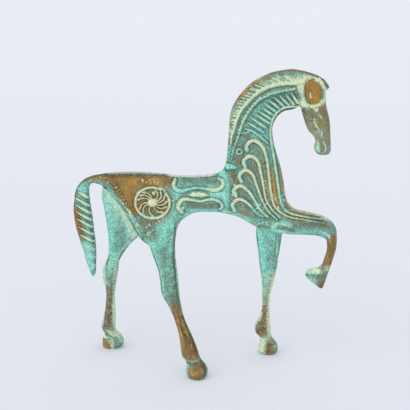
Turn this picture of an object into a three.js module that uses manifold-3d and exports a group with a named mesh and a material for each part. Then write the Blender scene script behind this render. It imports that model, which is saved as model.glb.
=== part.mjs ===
// A small cast bronze horse in an early Greek manner.
// It is one casting: a flat plate with rounded edges, whose legs splay to the sides below the body,
// with raised lines, curls and a swirling rosette on both faces.
// Millimetres. +X is the way the horse faces, +Z is up, and -Y is the richly worked face.

import * as THREE from 'three';
import { mergeVertices } from 'three/addons/utils/BufferGeometryUtils.js';
import Module from 'manifold-3d';

const wasm = await Module();
wasm.setup();

// Driving sizes of the casting
const PLATE_HALF = 3.0;          // half the thickness of body, neck and tail
const SHANK_HALF = 2.7;          // half the thickness of a lower leg
const HOOF_HALF = 5.8;           // half the depth of a hoof at its sole
const EDGE_ROUND = 2.4;          // reach of the rounding at the rim of the plate
const MIN_FLAT = 0.2;            // share of a narrow section that stays between its round rims
const RIM_STEPS = 4;             // facets round one rim of a section

// How far the legs splay: slope to the side, the height where it starts, and the softness of the bend
const BEND_SOFTNESS = 5;
const NEAR_HIND_SPLAY = { slope: -0.24, from: 100, offset: 0 };
const FAR_HIND_SPLAY = { slope: 0.208, from: 112, offset: 1 };
const FAR_FORE_SPLAY = { slope: 0.247, from: 95, offset: 1 };

// Relief on the faces
const RELIEF_HEIGHT = 0.7;
const RELIEF_ROOT = 0.9;         // how deep a raised line is rooted in the plate
const FINE_LINE = 1.3;
const BOLD_LINE = 1.9;
const LINE_END = 0.35;           // share of its width that a raised line keeps at its ends
const MANE_STROKES = 18;
const NEAR_FACE = -1;
const FAR_FACE = 1;

const ROSETTE = { x: -33.7, z: 111.4, ring: 11, ringWidth: 2, hub: 3, arms: 13, sweep: 0.62 };
const EYE = { x: 68.2, z: 186.3, wide: 5.2, tall: 8.1, lean: 0.17 };
const PUPIL = { x: 66.8, z: 184.4, wide: 1.1, tall: 2.6 };

const bronze = new THREE.MeshStandardMaterial({ color: 0x6fb5a4, roughness: 0.62, metalness: 0.45 });

// Solids

function softRamp(distance) {
  return BEND_SOFTNESS * Math.log1p(Math.exp(distance / BEND_SOFTNESS));
}

function splayAt(splay, z) {
  return splay ? splay.offset + splay.slope * softRamp(splay.from - z) : 0;
}

function closedSolid(positions, triangles) {
  const geometry = new THREE.BufferGeometry();
  geometry.setAttribute('position', new THREE.Float32BufferAttribute(positions, 3));
  geometry.setIndex(triangles);
  return toManifold(geometry);
}

function signedVolume(position, index) {
  const [a, b, c] = [new THREE.Vector3(), new THREE.Vector3(), new THREE.Vector3()];
  let volume = 0;
  for (let i = 0; i < index.count; i += 3) {
    a.fromBufferAttribute(position, index.getX(i));
    b.fromBufferAttribute(position, index.getX(i + 1));
    c.fromBufferAttribute(position, index.getX(i + 2));
    volume += a.dot(b.cross(c)) / 6;
  }
  return volume;
}

function toManifold(geometry) {
  geometry.deleteAttribute('normal');
  geometry.deleteAttribute('uv');
  const merged = mergeVertices(geometry, 1e-4);
  const triVerts = Uint32Array.from(merged.index.array);
  if (signedVolume(merged.attributes.position, merged.index) < 0) {
    for (let i = 0; i < triVerts.length; i += 3) {
      [triVerts[i + 1], triVerts[i + 2]] = [triVerts[i + 2], triVerts[i + 1]];
    }
  }
  const vertProperties = Float32Array.from(merged.attributes.position.array);
  return new wasm.Manifold(new wasm.Mesh({ numProp: 3, vertProperties, triVerts }));
}

function joined(solids) {
  return solids.reduce((whole, solid) => whole.add(solid));
}

// A skin over equal rings of points, closed by a fan at each end.
function skin(rings) {
  const sides = rings[0].length;
  const triangles = [];
  for (let r = 0; r < rings.length - 1; r++) {
    for (let s = 0; s < sides; s++) {
      const next = (s + 1) % sides;
      const [a, b] = [r * sides + s, r * sides + next];
      triangles.push(a, b, b + sides, a, b + sides, a + sides);
    }
  }
  const last = (rings.length - 1) * sides;
  for (let s = 1; s < sides - 1; s++) {
    triangles.push(0, s + 1, s);
    triangles.push(last, last + s, last + s + 1);
  }
  return closedSolid(rings.flat().flatMap((point) => point.toArray()), triangles);
}

// Limbs

// The ring of one section, from its rear edge to its front edge, with round rims.
function sectionRing(rear, front, splay) {
  const half = (rear.y + front.y) / 2;
  const across = new THREE.Vector2(front.x - rear.x, front.z - rear.z);
  const halfWidth = across.length() / 2;
  across.normalize();
  const round = Math.min(EDGE_ROUND, (1 - MIN_FLAT) * halfWidth);
  const middle = new THREE.Vector2((rear.x + front.x) / 2, (rear.z + front.z) / 2);
  const ring = [];
  for (const end of [1, -1]) {
    for (let k = 0; k <= RIM_STEPS; k++) {
      const angle = Math.PI * (k / RIM_STEPS - 0.5) * end;
      const reach = end * (halfWidth - round + round * Math.cos(angle));
      const x = middle.x + across.x * reach;
      const z = middle.y + across.y * reach;
      ring.push(new THREE.Vector3(x, splayAt(splay, z) + half * Math.sin(angle), z));
    }
  }
  return ring;
}

// A limb between two smooth edges. A station is [rear x, rear z, front x, front z, half thickness].
function limb(stations, stepsPerSpan, splay) {
  const edge = (column) => new THREE.CatmullRomCurve3(
    stations.map((s) => new THREE.Vector3(s[column], s[4], s[column + 1])),
    false,
    'centripetal',
  );
  const [rear, front] = [edge(0), edge(2)];
  const steps = (stations.length - 1) * stepsPerSpan;
  const rings = [];
  for (let i = 0; i <= steps; i++) {
    rings.push(sectionRing(rear.getPoint(i / steps), front.getPoint(i / steps), splay));
  }
  return skin(rings);
}

// A leg's stations are level: [height, rear x, front x, half thickness].
function leg(levels, splay) {
  return limb(levels.map(([z, rear, front, half]) => [rear, z, front, z, half]), 1, splay);
}

function trunk() {
  return limb([
    [-74, 126.8, -71, 122.8, 2.2],
    [-68, 128.4, -67, 121.4, PLATE_HALF],
    [-60, 129.9, -58, 112.4, PLATE_HALF],
    [-50, 130.7, -51, 102.6, PLATE_HALF],
    [-38, 130.6, -44, 90.5, PLATE_HALF],
    [-29, 130, -31, 92, PLATE_HALF],
    [-20, 129.5, -19.8, 93, PLATE_HALF],
    [-12, 129.3, -15.2, 99.6, PLATE_HALF],
    [-4, 129.7, -7.2, 104.7, PLATE_HALF],
    [3, 130.4, 3, 106, PLATE_HALF],
    [9, 132, 14, 104.8, PLATE_HALF],
    [16, 132, 24, 102.2, PLATE_HALF],
    [26, 128, 30.7, 98.2, PLATE_HALF],
    [40, 122, 37, 95, PLATE_HALF],
  ], 2);
}

function neckAndForearm() {
  return limb([
    [63, 198.6, 60.5, 177, PLATE_HALF],
    [54, 199.8, 56, 174.6, PLATE_HALF],
    [42, 197.5, 49.8, 173.1, PLATE_HALF],
    [31, 191.9, 45.8, 169.3, PLATE_HALF],
    [22, 183.2, 43.6, 164.6, PLATE_HALF],
    [16.9, 173, 43, 159, PLATE_HALF],
    [15.1, 161, 44.2, 150.6, PLATE_HALF],
    [14.6, 149, 46.8, 142, PLATE_HALF],
    [13.6, 139.5, 49.1, 133.5, PLATE_HALF],
    [12.2, 131, 50.6, 126.5, PLATE_HALF],
    [14, 121, 51.9, 119, PLATE_HALF],
    [22, 110, 53.6, 113.4, PLATE_HALF],
    [33, 99, 57, 110, PLATE_HALF],
    [43, 94.2, 62, 108.4, PLATE_HALF],
    [53, 92.4, 68, 107, PLATE_HALF],
    [66, 92.1, 75, 105.3, PLATE_HALF],
    [74, 91.5, 81, 102.2, PLATE_HALF],
    [78.2, 89.4, 84.5, 97, PLATE_HALF],
    [79.2, 85.5, 85.5, 90.5, PLATE_HALF],
    [79, 81.5, 85.1, 83.5, SHANK_HALF],
    [77.7, 77, 83.6, 77, SHANK_HALF],
    [76.4, 72.5, 81.9, 71.7, SHANK_HALF],
    [73.4, 70.1, 80.3, 66.4, 3.4],
    [69.4, 69.4, 79, 62, 4.6],
    [66.4, 67.9, 77.8, 58.8, 5.4],
    [65.3, 65.4, 76.8, 56.7, 5.4],
    [67.2, 62.6, 75.3, 56.3, 4.4],
  ], 1);
}

function head() {
  return limb([
    [56, 199.2, 54, 179, 2.4],
    [65, 198.2, 60.3, 176, PLATE_HALF],
    [72.5, 194.8, 60.9, 173.2, 3.3],
    [75.8, 187, 62.2, 169.4, 3.4],
    [76.4, 178.5, 64, 164.6, 3.4],
    [78.2, 170.5, 66.1, 160.4, 3.2],
    [79.2, 164, 68.9, 157.7, PLATE_HALF],
    [79.6, 158.5, 70.2, 154.8, PLATE_HALF],
    [80, 152, 69.5, 150.8, PLATE_HALF],
    [80, 148.2, 70, 147.9, PLATE_HALF],
    [78.9, 146, 72, 145.8, 2.6],
    [76.8, 145.2, 74.2, 145.2, 1.9],
  ], 1);
}

function forelock() {
  return limb([
    [62, 198.6, 63, 190, 2.4],
    [70, 196.3, 70, 189, 2.8],
    [75, 193.5, 74, 187.2, 2.6],
    [77.5, 190.6, 76.1, 186.7, 2.1],
    [78.3, 189, 77.4, 187.6, 1.4],
  ], 1);
}

function tail() {
  return limb([
    [-64, 129.2, -64, 121.5, 2.2],
    [-73, 127.4, -71.3, 122.9, 2.6],
    [-80, 124.3, -74, 122.4, PLATE_HALF],
    [-84.3, 118.2, -75.7, 119.4, PLATE_HALF],
    [-85.9, 110.8, -75.4, 112, PLATE_HALF],
    [-86.3, 103, -74.4, 104, PLATE_HALF],
    [-85.2, 94, -73.4, 94.5, PLATE_HALF],
    [-82.9, 84.5, -72.4, 84.5, 2.9],
    [-80.2, 75, -72, 75, 2.7],
    [-77.7, 66.5, -72.2, 66.5, 2.4],
    [-75.9, 61, -72.7, 61.2, 1.8],
    [-74.8, 58.8, -73.8, 58.8, 1.2],
  ], 1);
}

function nearHindLeg() {
  return leg([
    [112, -50, -25, 2.2],
    [103, -51.2, -20.4, 2.7],
    [96, -47, -18, PLATE_HALF],
    [90, -43.9, -18.4, PLATE_HALF],
    [86, -41, -18.9, PLATE_HALF],
    [82.5, -36.4, -19, PLATE_HALF],
    [76, -33.2, -18.7, PLATE_HALF],
    [67, -29.8, -17.2, PLATE_HALF],
    [59, -28.3, -16.2, PLATE_HALF],
    [52, -26.9, -15.5, PLATE_HALF],
    [45, -22.5, -14.1, 2.9],
    [37, -18.6, -11.8, SHANK_HALF],
    [27, -15.3, -7, SHANK_HALF],
    [18, -13.6, -2.9, 3.2],
    [12.8, -12.5, -0.9, 3.4],
    [10.2, -10.2, 1.1, 3.6],
    [7.4, -9.7, 3.5, 4.6],
    [4, -9.9, 4.4, 5.6],
    [1.2, -9.2, 4, HOOF_HALF],
    [0, -8.2, 3, 5.2],
  ], NEAR_HIND_SPLAY);
}

function farHindLeg() {
  return leg([
    [121, -66.8, -52, 2],
    [114, -67.6, -47, 2.7],
    [104, -66.5, -44, PLATE_HALF],
    [93, -65.3, -42, PLATE_HALF],
    [86.5, -64.9, -44, PLATE_HALF],
    [82.5, -64.8, -47.8, PLATE_HALF],
    [77, -64.9, -52.3, PLATE_HALF],
    [71, -65.8, -56.5, PLATE_HALF],
    [65, -67.8, -58.8, PLATE_HALF],
    [59.5, -70, -59.6, 2.9],
    [53, -70.1, -60.8, 2.8],
    [45, -68.7, -62.5, SHANK_HALF],
    [35, -69.2, -63, SHANK_HALF],
    [24, -71.3, -63.1, SHANK_HALF],
    [16.5, -73.1, -63.9, 3.2],
    [13, -72.8, -63.5, 3.4],
    [10.2, -71.2, -60.6, 3.8],
    [7, -72.7, -59, 4.8],
    [3.5, -73.2, -58.6, 5.6],
    [1.2, -72.4, -59.1, HOOF_HALF],
    [0, -71.4, -60, 5.2],
  ], FAR_HIND_SPLAY);
}

function farForeLeg() {
  return leg([
    [105, 36, 48, 2],
    [98, 33.6, 50, 2.8],
    [92, 33, 49.9, PLATE_HALF],
    [84, 33.7, 49, PLATE_HALF],
    [74, 34.8, 47.7, PLATE_HALF],
    [63, 36, 46.1, PLATE_HALF],
    [53, 36.7, 44, 2.9],
    [44, 37, 42.2, SHANK_HALF],
    [35, 36.7, 41.8, SHANK_HALF],
    [28, 34.8, 41.8, 2.8],
    [22, 32, 42.1, 3.1],
    [18.5, 31.4, 42.4, 3.4],
    [15, 32.9, 42.6, 3.4],
    [12, 35.1, 43.6, 3.6],
    [7.5, 34.8, 46.4, 4.8],
    [3.5, 34.2, 47.2, 5.6],
    [1.2, 34.2, 46.7, HOOF_HALF],
    [0, 35.1, 45.6, 5.2],
  ], FAR_FORE_SPLAY);
}

// Relief

function planeCurve(points) {
  return new THREE.SplineCurve(points.map(([x, z]) => new THREE.Vector2(x, z)));
}

// A raised line on one face of the plate, with a ridge along its middle. Its width swells to 1 at
// the middle of its length and narrows at its ends.
function raisedLine(points, width, steps, face, height = RELIEF_HEIGHT) {
  const path = planeCurve(points);
  const rings = [];
  for (let i = 0; i <= steps; i++) {
    const at = path.getPointAt(i / steps);
    const along = path.getTangentAt(i / steps);
    const swell = Math.min(1, LINE_END + Math.min(i, steps - i));
    const rootHalf = (0.5 * width * swell * (height + RELIEF_ROOT)) / height;
    const across = new THREE.Vector2(-along.y, along.x).multiplyScalar(rootHalf);
    const root = face * (PLATE_HALF - RELIEF_ROOT);
    const crest = face * (PLATE_HALF + height * swell);
    rings.push([
      new THREE.Vector3(at.x + across.x, root, at.y + across.y),
      new THREE.Vector3(at.x, crest, at.y),
      new THREE.Vector3(at.x - across.x, root, at.y - across.y),
    ]);
  }
  return skin(rings);
}

// A low oval boss on one face of the plate.
function boss({ x, z, wide, tall, lean = 0 }, height, sides, face) {
  const profile = [[0, -RELIEF_ROOT], [1, -RELIEF_ROOT], [1, 0.35 * height], [0.72, height], [0, height]];
  const lathe = new THREE.LatheGeometry(profile.map(([r, y]) => new THREE.Vector2(r, y)), sides);
  lathe.scale(wide, face, tall);
  lathe.rotateY(lean);
  lathe.translate(x, face * PLATE_HALF, z);
  return toManifold(lathe);
}

function arcPoints({ x, z }, radius, from, to, count) {
  return Array.from({ length: count + 1 }, (unused, i) => {
    const angle = from + ((to - from) * i) / count;
    return [x + radius * Math.cos(angle), z + radius * Math.sin(angle)];
  });
}

// The rosette: an open ring, a hub, and arms that leave the hub straight and sweep round to the ring.
function rosette(face) {
  const ringStart = THREE.MathUtils.degToRad(60);
  const ringEnd = THREE.MathUtils.degToRad(400);
  const ring = arcPoints(ROSETTE, ROSETTE.ring, ringStart, ringEnd, 16);
  const solids = [raisedLine(ring, ROSETTE.ringWidth, 26, face)];
  for (let arm = 0; arm < ROSETTE.arms; arm++) {
    const start = (2 * Math.PI * (arm + 0.3)) / ROSETTE.arms;
    const points = [0, 0.4, 0.75, 1].map((t) => {
      const radius = THREE.MathUtils.lerp(ROSETTE.hub - 0.4, ROSETTE.ring - 0.8, t);
      const angle = start + ROSETTE.sweep * t * t;
      return [ROSETTE.x + radius * Math.cos(angle), ROSETTE.z + radius * Math.sin(angle)];
    });
    solids.push(raisedLine(points, FINE_LINE, 3, face));
  }
  solids.push(boss({ ...ROSETTE, wide: ROSETTE.hub, tall: ROSETTE.hub }, 1, 10, face));
  return joined(solids);
}

// Five curls on the shoulder. Each hooks over at its head, and its long tail runs down to the forearm.
function shoulderCurls(face) {
  const curls = [
    [[27.2, 147.8], [26.9, 151], [31, 154.2], [36.6, 151], [39.7, 143], [41.2, 132], [42.9, 120],
      [45.5, 112], [53, 105.8], [64, 102.4], [76, 100.9]],
    [[26.2, 136.8], [25, 140.5], [28.8, 144], [33.6, 141.6], [36, 134], [37.8, 125], [39.4, 116.5],
      [43.2, 109.6], [49, 103.7]],
    [[23.8, 127.3], [22.4, 130.8], [26, 134.7], [30.6, 132.2], [33.4, 125.5], [36.6, 116.5],
      [41.2, 108], [47, 102.4]],
    [[20.3, 117.6], [18.8, 121], [22.8, 124.3], [27.6, 121.7], [32.2, 115], [36.6, 108], [41, 104]],
    [[19.5, 107.8], [18.2, 111.6], [21.6, 115.4], [26.8, 113.7], [33.8, 106.5]],
  ];
  const stepsPerPoint = 1.5;
  return joined(curls.map((points) => (
    raisedLine(points, BOLD_LINE, Math.round(stepsPerPoint * points.length), face)
  )));
}

// The two facing curls on the flank, with an almond between them and a bead in the lower one.
function flankCurls(face) {
  const upper = [[-17.8, 127.6], [-19, 124], [-15.5, 120.4], [-10, 121.1], [-4, 122.3], [2, 121.4],
    [7.5, 121.1], [11.8, 124], [11.2, 128], [8.6, 128.8]];
  const lower = [[-14.6, 105.6], [-17.2, 109.4], [-14, 114.2], [-8, 114], [-3, 113.3], [4, 114.8],
    [10, 113.2], [11.4, 110], [9.8, 108.2]];
  return joined([
    raisedLine(upper, BOLD_LINE, 15, face),
    raisedLine(lower, BOLD_LINE, 14, face),
    boss({ x: -3.8, z: 117.8, wide: 6.6, tall: 2 }, 0.8, 8, face),
    boss({ x: -13.8, z: 108.6, wide: 1.2, tall: 1.2 }, 0.8, 6, face),
  ]);
}

// The mane: a broad ridge that follows the crest, a fine one inside it, and short strokes outside it.
function mane(face) {
  const broad = [[17, 152], [19, 162], [22.3, 172], [28.8, 180.5], [36.5, 187], [47, 190.8], [62, 192.6]];
  const fine = [[17.4, 140], [19.6, 153], [24.3, 165.5], [30.4, 176.6], [41, 184.2], [57, 188.8]];
  const solids = [raisedLine(broad, 2.4, 13, face), raisedLine(fine, FINE_LINE, 12, face)];
  const strokes = face === NEAR_FACE ? MANE_STROKES : 0;
  const inner = planeCurve(broad);
  const outer = planeCurve([[17.6, 161], [17.8, 169], [21.6, 178.5], [29.5, 188], [40, 194.4], [57, 197]]);
  for (let i = 0; i < strokes; i++) {
    const foot = inner.getPointAt(THREE.MathUtils.lerp(0.26, 0.95, i / (strokes - 1)));
    const tip = outer.getPointAt(THREE.MathUtils.lerp(0.12, 1, i / (strokes - 1)));
    solids.push(raisedLine([[foot.x, foot.y], [tip.x, tip.y]], 1.1, 1, face, 0.5));
  }
  return joined(solids);
}

// Slanted bars across the neck, between the mane and the throat.
function neckBars(face) {
  const heads = planeCurve([[26.5, 164.5], [30, 171], [36, 177], [44, 182.8], [54.8, 186]]);
  const feet = planeCurve([[37, 159.7], [39.8, 165], [42.6, 171.2], [49, 176.6], [58.8, 179]]);
  const bars = 11;
  const solids = [raisedLine([[26, 161.7], [34.5, 157.6], [40.5, 152.5]], FINE_LINE, 4, face)];
  for (let i = 0; i < bars; i++) {
    const [a, b] = [heads.getPoint(i / (bars - 1)), feet.getPoint(i / (bars - 1))];
    solids.push(raisedLine([[a.x, a.y], [b.x, b.y]], FINE_LINE, 2, face));
  }
  return joined(solids);
}

// The line along the throat that runs down the chest and turns out along the forearm.
function throatLine(face) {
  return raisedLine([[59.5, 176.8], [50.5, 175.5], [43.8, 169.5], [41.8, 160], [44.2, 144],
    [47, 127], [48.9, 114.5], [54, 107.6], [67, 105.2]], FINE_LINE, 18, face);
}

// Slanted ribs down the tail.
function tailRibs(face) {
  const outer = planeCurve([[-81.8, 117], [-83.9, 104], [-81.3, 88], [-76.6, 69.5]]);
  const inner = planeCurve([[-77.2, 113.6], [-75.6, 99.4], [-74.4, 84.4], [-73.8, 67.2]]);
  const ribs = 10;
  return joined(Array.from({ length: ribs }, (unused, i) => {
    const [a, b] = [outer.getPoint(i / (ribs - 1)), inner.getPoint(i / (ribs - 1))];
    return raisedLine([[a.x, a.y], [b.x, b.y]], BOLD_LINE, 2, face);
  }));
}

function eye(face) {
  return joined([boss(EYE, 1.2, 14, face), boss(PUPIL, 1.7, 6, face)]);
}

const form = joined([
  trunk(), neckAndForearm(), head(), forelock(), tail(), nearHindLeg(), farHindLeg(), farForeLeg(),
]);
const relief = [NEAR_FACE, FAR_FACE].flatMap((face) => [
  rosette(face), shoulderCurls(face), flankCurls(face), mane(face), throatLine(face), tailRibs(face),
  eye(face),
]);
relief.push(neckBars(NEAR_FACE));

function toGeometry(solid) {
  const { vertProperties, triVerts } = solid.getMesh();
  const geometry = new THREE.BufferGeometry();
  geometry.setAttribute('position', new THREE.BufferAttribute(vertProperties, 3));
  geometry.setIndex(new THREE.BufferAttribute(triVerts, 1));
  geometry.computeBoundingBox();
  const centre = geometry.boundingBox.getCenter(new THREE.Vector3());
  geometry.translate(-centre.x, -centre.y, 0);
  geometry.computeVertexNormals();
  return geometry;
}

const horse = new THREE.Mesh(toGeometry(joined([form, ...relief])), bronze);
horse.name = 'horse';

const group = new THREE.Group();
group.add(horse);

export default group;
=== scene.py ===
"""A small cast bronze horse in an early Greek manner, with worn verdigris.

The casting is worked out on a grid. Each limb is a sheet with an outline, a thickness and a lean, the sheets
melt into one body, and raised lines thicken it on both faces. The surface where the body ends is the mesh.
Lengths are millimetres up to the point where the mesh is made, and metres from there on.
"""

import math

import bpy
import numpy as np
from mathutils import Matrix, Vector


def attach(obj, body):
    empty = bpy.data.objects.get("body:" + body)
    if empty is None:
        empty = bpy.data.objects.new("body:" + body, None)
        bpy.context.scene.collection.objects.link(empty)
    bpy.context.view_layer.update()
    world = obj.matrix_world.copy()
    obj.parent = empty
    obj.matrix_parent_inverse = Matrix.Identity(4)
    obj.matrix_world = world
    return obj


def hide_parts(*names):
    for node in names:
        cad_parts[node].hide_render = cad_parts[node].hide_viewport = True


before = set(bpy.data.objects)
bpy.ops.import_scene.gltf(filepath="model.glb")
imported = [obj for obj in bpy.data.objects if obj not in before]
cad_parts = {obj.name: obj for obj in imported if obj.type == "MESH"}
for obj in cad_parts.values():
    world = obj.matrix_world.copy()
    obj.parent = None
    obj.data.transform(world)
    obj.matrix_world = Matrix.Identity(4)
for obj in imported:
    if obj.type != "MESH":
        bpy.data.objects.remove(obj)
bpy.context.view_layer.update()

MM = 0.001
DRAWING_SHIFT = (0.4, -0.23, 0.0)  # from the drawing's origin to the frame's

# The view: degrees round towards the head and above, then millimetres and pixels of a square frame
VIEW_AZIMUTH = 6.0
VIEW_ELEVATION = 16.0
VIEW_DISTANCE = 900.0
VIEW_TARGET = (0.0, 0.0, 110.0)
VIEW_FOCAL_PIXELS = 1393.0
FRAME_PIXELS = 410.0
SENSOR_MM = 36.0

# The casting
PLATE_HALF = 3.0
EDGE_ROUND = 2.3  # reach of the rounding at the rim
HOOF_ROUND = 4.8
HOOF_HEIGHTS = (8.0, 14.0)  # between these the rounding turns from the hoof's into the leg's
BEND_SOFTNESS = 5.0
LIMB_MELT = 0.8  # how softly limbs of the plate join, within the plate
SHEET_MELT = 1.5  # how softly the splayed legs join the plate
WOBBLE = 0.12  # unevenness of the edges
EDGE_WAVES = 16.0  # size of its waves
FACE_WOBBLE = 0.6 * WOBBLE
FACE_WAVES = 9.0
FACE_SEED = 11
NEAR_HIND_SPLAY = {"slope": -0.24, "start": 100.0, "offset": 0.0}
FAR_HIND_SPLAY = {"slope": 0.208, "start": 112.0, "offset": 1.0}
FAR_FORE_SPLAY = {"slope": 0.247, "start": 95.0, "offset": 1.0}
FLAT = {"slope": 0.0, "start": 0.0, "offset": 0.0}

# The grid that the body is worked out on
CELL = 0.4
GRID_X = np.arange(-90.0, 90.0, CELL)
GRID_Y = np.arange(-33.2, 33.2, CELL)
GRID_Z = np.arange(-1.2, 203.0, CELL)
FACE_X, FACE_Z = np.meshgrid(GRID_X, GRID_Z)
REACH = 6.0  # how far outside a limb its distance is worked out
SKIN = 1.6  # how far outside a limb the body's field is worked out
TRIANGLES = 190_000

# Limbs between two smooth edges: rear x, rear z, front x, front z, and the half thickness if it varies
TRUNK = [
    (-74, 126.8, -71, 122.8), (-68, 128.4, -67, 121.4), (-60, 129.9, -58, 112.4),
    (-50, 130.7, -51, 102.6), (-38, 130.6, -44, 90.5), (-29, 130, -31, 92), (-20, 129.5, -19.8, 93),
    (-12, 129.3, -15.2, 99.6), (-4, 129.7, -7.2, 104.7), (3, 130.3, 3, 106), (8.4, 131.6, 14, 104.8),
    (11.8, 134.4, 24, 102.2), (14.6, 139.5, 30.7, 98.2), (30, 122, 37, 95),
]
NECK = [
    (63, 198.6, 60.5, 177), (54, 199.8, 56, 174.6), (42, 197.5, 49.8, 173.1), (31, 191.9, 45.8, 169.3),
    (22, 183.2, 43.6, 164.6), (16.9, 173, 43, 159), (15.1, 161, 44.2, 150.6), (14.6, 149, 46.8, 142),
    (13.6, 139.5, 49.1, 133.5), (12.2, 131, 50.6, 126.5), (14, 121, 51.9, 119), (22, 110, 53.6, 113.4),
    (33, 99, 57, 110), (43, 94.2, 62, 108.4), (53, 92.4, 68, 107), (66, 92.1, 75, 105.3),
    (74, 91.5, 81, 102.2), (78.2, 89.4, 84.5, 97),
]
FOREARM = [
    (79.2, 85.5, 85.5, 90.5, 3), (79, 81.5, 85.1, 83.5, 2.7), (77.7, 77, 83.6, 77, 2.7),
    (76.4, 72.5, 81.9, 71.7, 2.7), (73.4, 70.1, 80.3, 66.4, 3.4), (69.4, 69.4, 79, 62, 4.6),
    (66.4, 67.9, 77.8, 58.8, 5.4), (65.3, 65.4, 76.8, 56.7, 5.4), (67.2, 62.6, 75.3, 56.3, 4.4),
]
HEAD = [
    (56, 199.2, 54, 179, 3), (65, 198.2, 60.3, 176, 3), (72.5, 194.8, 60.9, 173.2, 3.3),
    (75.8, 187, 62.2, 169.4, 3.4), (76.4, 178.5, 64, 164.6, 3.4), (78.2, 170.5, 66.1, 160.4, 3.2),
    (79.2, 164, 68.9, 157.7, 3), (79.6, 158.5, 70.2, 154.8, 3), (80, 152, 69.5, 150.8, 3),
    (80, 148.2, 70, 147.9, 3), (78.9, 146, 72, 145.8, 2.6), (76.8, 145.2, 74.2, 145.2, 1.9),
]
FORELOCK = [
    (62, 198.6, 63, 190, 3), (70, 196.3, 70, 189, 2.9), (75, 193.5, 74, 187.2, 2.6),
    (77.5, 190.6, 76.1, 186.7, 2.2), (78.3, 189, 77.4, 187.6, 1.8),
]
TAIL = [
    (-64, 129.2, -64, 121.5, 3), (-73, 127.4, -71.3, 122.9, 3), (-80, 124.3, -74, 122.4, 3),
    (-84.3, 118.2, -75.7, 119.4, 3), (-85.9, 110.8, -75.4, 112, 3), (-86.3, 103, -74.4, 104, 3),
    (-85.2, 94, -73.4, 94.5, 3), (-82.9, 84.5, -72.4, 84.5, 2.9), (-80.2, 75, -72, 75, 2.7),
    (-77.7, 66.5, -72.2, 66.5, 2.4), (-75.9, 61, -72.7, 61.2, 1.8), (-74.8, 58.8, -73.8, 58.8, 1.2),
]

# Legs, by level: height, rear x, front x, half thickness. They run on below the ground and are cut flat.
NEAR_HIND_LEG = [
    (112, -50, -25, 2.2), (103, -51.2, -20.4, 2.7), (96, -47, -18, 3), (90, -43.9, -18.4, 3),
    (86, -41, -18.9, 3), (82.5, -36.4, -19, 3), (76, -33.2, -18.7, 3), (67, -29.8, -17.2, 3),
    (59, -28.3, -16.2, 3), (52, -26.9, -15.5, 3), (45, -22.5, -14.1, 2.9), (37, -18.6, -11.8, 2.7),
    (27, -15.3, -7, 2.7), (18, -13.6, -2.9, 3.2), (12.8, -12.5, -0.9, 3.4), (10.2, -10.2, 1.1, 3.6),
    (7.4, -9.7, 3.5, 4.6), (4, -9.9, 4.4, 5.6), (1.2, -9, 3.6, 5.8), (0, -7.9, 2.5, 5.5),
    (-4, -7, 2, 4.4),
]
FAR_HIND_LEG = [
    (121, -66.8, -52, 2), (114, -67.6, -47, 2.7), (104, -66.5, -44, 3), (93, -65.3, -42, 3),
    (86.5, -64.9, -44, 3), (82.5, -64.8, -47.8, 3), (77, -64.9, -52.3, 3), (71, -65.8, -56.5, 3),
    (65, -67.8, -58.8, 3), (59.5, -70, -59.6, 2.9), (53, -70.1, -60.8, 2.8), (45, -68.7, -62.5, 2.7),
    (35, -69.2, -63, 2.7), (24, -71.3, -63.1, 2.7), (16.5, -73.1, -63.9, 3.2), (13, -72.8, -63.5, 3.4),
    (10.2, -71.2, -60.6, 3.8), (7, -72.9, -59, 4.8), (3.5, -73.4, -58.6, 5.6), (1.2, -73.3, -59.5, 5.8),
    (0, -73, -60.6, 5.5), (-4, -72.6, -61, 4.4),
]
FAR_FORE_LEG = [
    (105, 36, 48, 2), (98, 33.6, 50, 2.8), (92, 33, 49.9, 3), (84, 33.7, 49, 3), (74, 34.8, 47.7, 3),
    (63, 36, 46.1, 3), (53, 36.7, 44, 2.9), (44, 37, 42.2, 2.7), (35, 36.7, 41.8, 2.7),
    (28, 34.8, 41.8, 2.8), (22, 32, 42.1, 3.1), (18.5, 31.4, 42.4, 3.4), (15, 32.9, 42.6, 3.4),
    (12, 35.1, 43.6, 3.6), (7.5, 34.8, 46.4, 4.8), (3.5, 34.2, 47.2, 5.6), (1.2, 34.2, 46.7, 5.8),
    (0, 34.9, 45.8, 5.5), (-4, 36, 44, 4.4),
]

# Relief
RIDGE = 0.85  # height of a raised line
FADED_RIDGE = 0.35  # its height where it runs out along the forearm
RIDGE_SPILL = 0.1  # how far its colour reaches past it
FULL_RIDGE = 0.55  # height from which it has its full colour
COLOUR_GAIN = 1.6  # how soon the colour is full towards its middle
THIN_COLOUR = 0.4  # colour of a hair line
COLOUR_PER_MM = 0.8  # what each millimetre of half width adds to that
GROOVE = 0.3  # depth of the groove beside it
GROOVE_START = 0.3  # where the groove begins beside the line
GROOVE_WIDTH = 0.6
PATH_STEP = 0.25  # between the points that a raised line is drawn with
LINE_MARGIN = 3.0  # how far round a line the face is worked on
CREASE_WIDTH = 1.4
CREASE_DEPTH = 0.7
ROSETTE = {"x": -33.8, "z": 111.4, "ring": 11.2, "hub": 3.2, "tall": 0.91}
ROSETTE_OPENING = (40, 59)  # degrees where the ring is open
ROSETTE_ARMS = (8, 33, 55, 78.6, 129, 149, 170, 210, 233, 272, 316, 344)  # degrees where they meet the ring
ROSETTE_SWEEP = 30  # degrees that an arm turns between hub and ring
EYE = {"x": 68.1, "z": 186.3, "wide": 5.0, "tall": 8.1, "lean": 0.17}
EYE_HEIGHT = 1.1
PUPIL = [(66.3, 187.3), (66.9, 183.2)]
PUPIL_WIDTHS = [0.5, 1.2, 1.9]
MANE_SEED = 21
MANE_STROKES = 27
MANE_SPAN = 0.92  # the share of the mane's length that they take up
MANE_FEET_FROM = 0.06  # the share of it before the foot of the first
MANE_TIPS_FROM = 0.035
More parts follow.
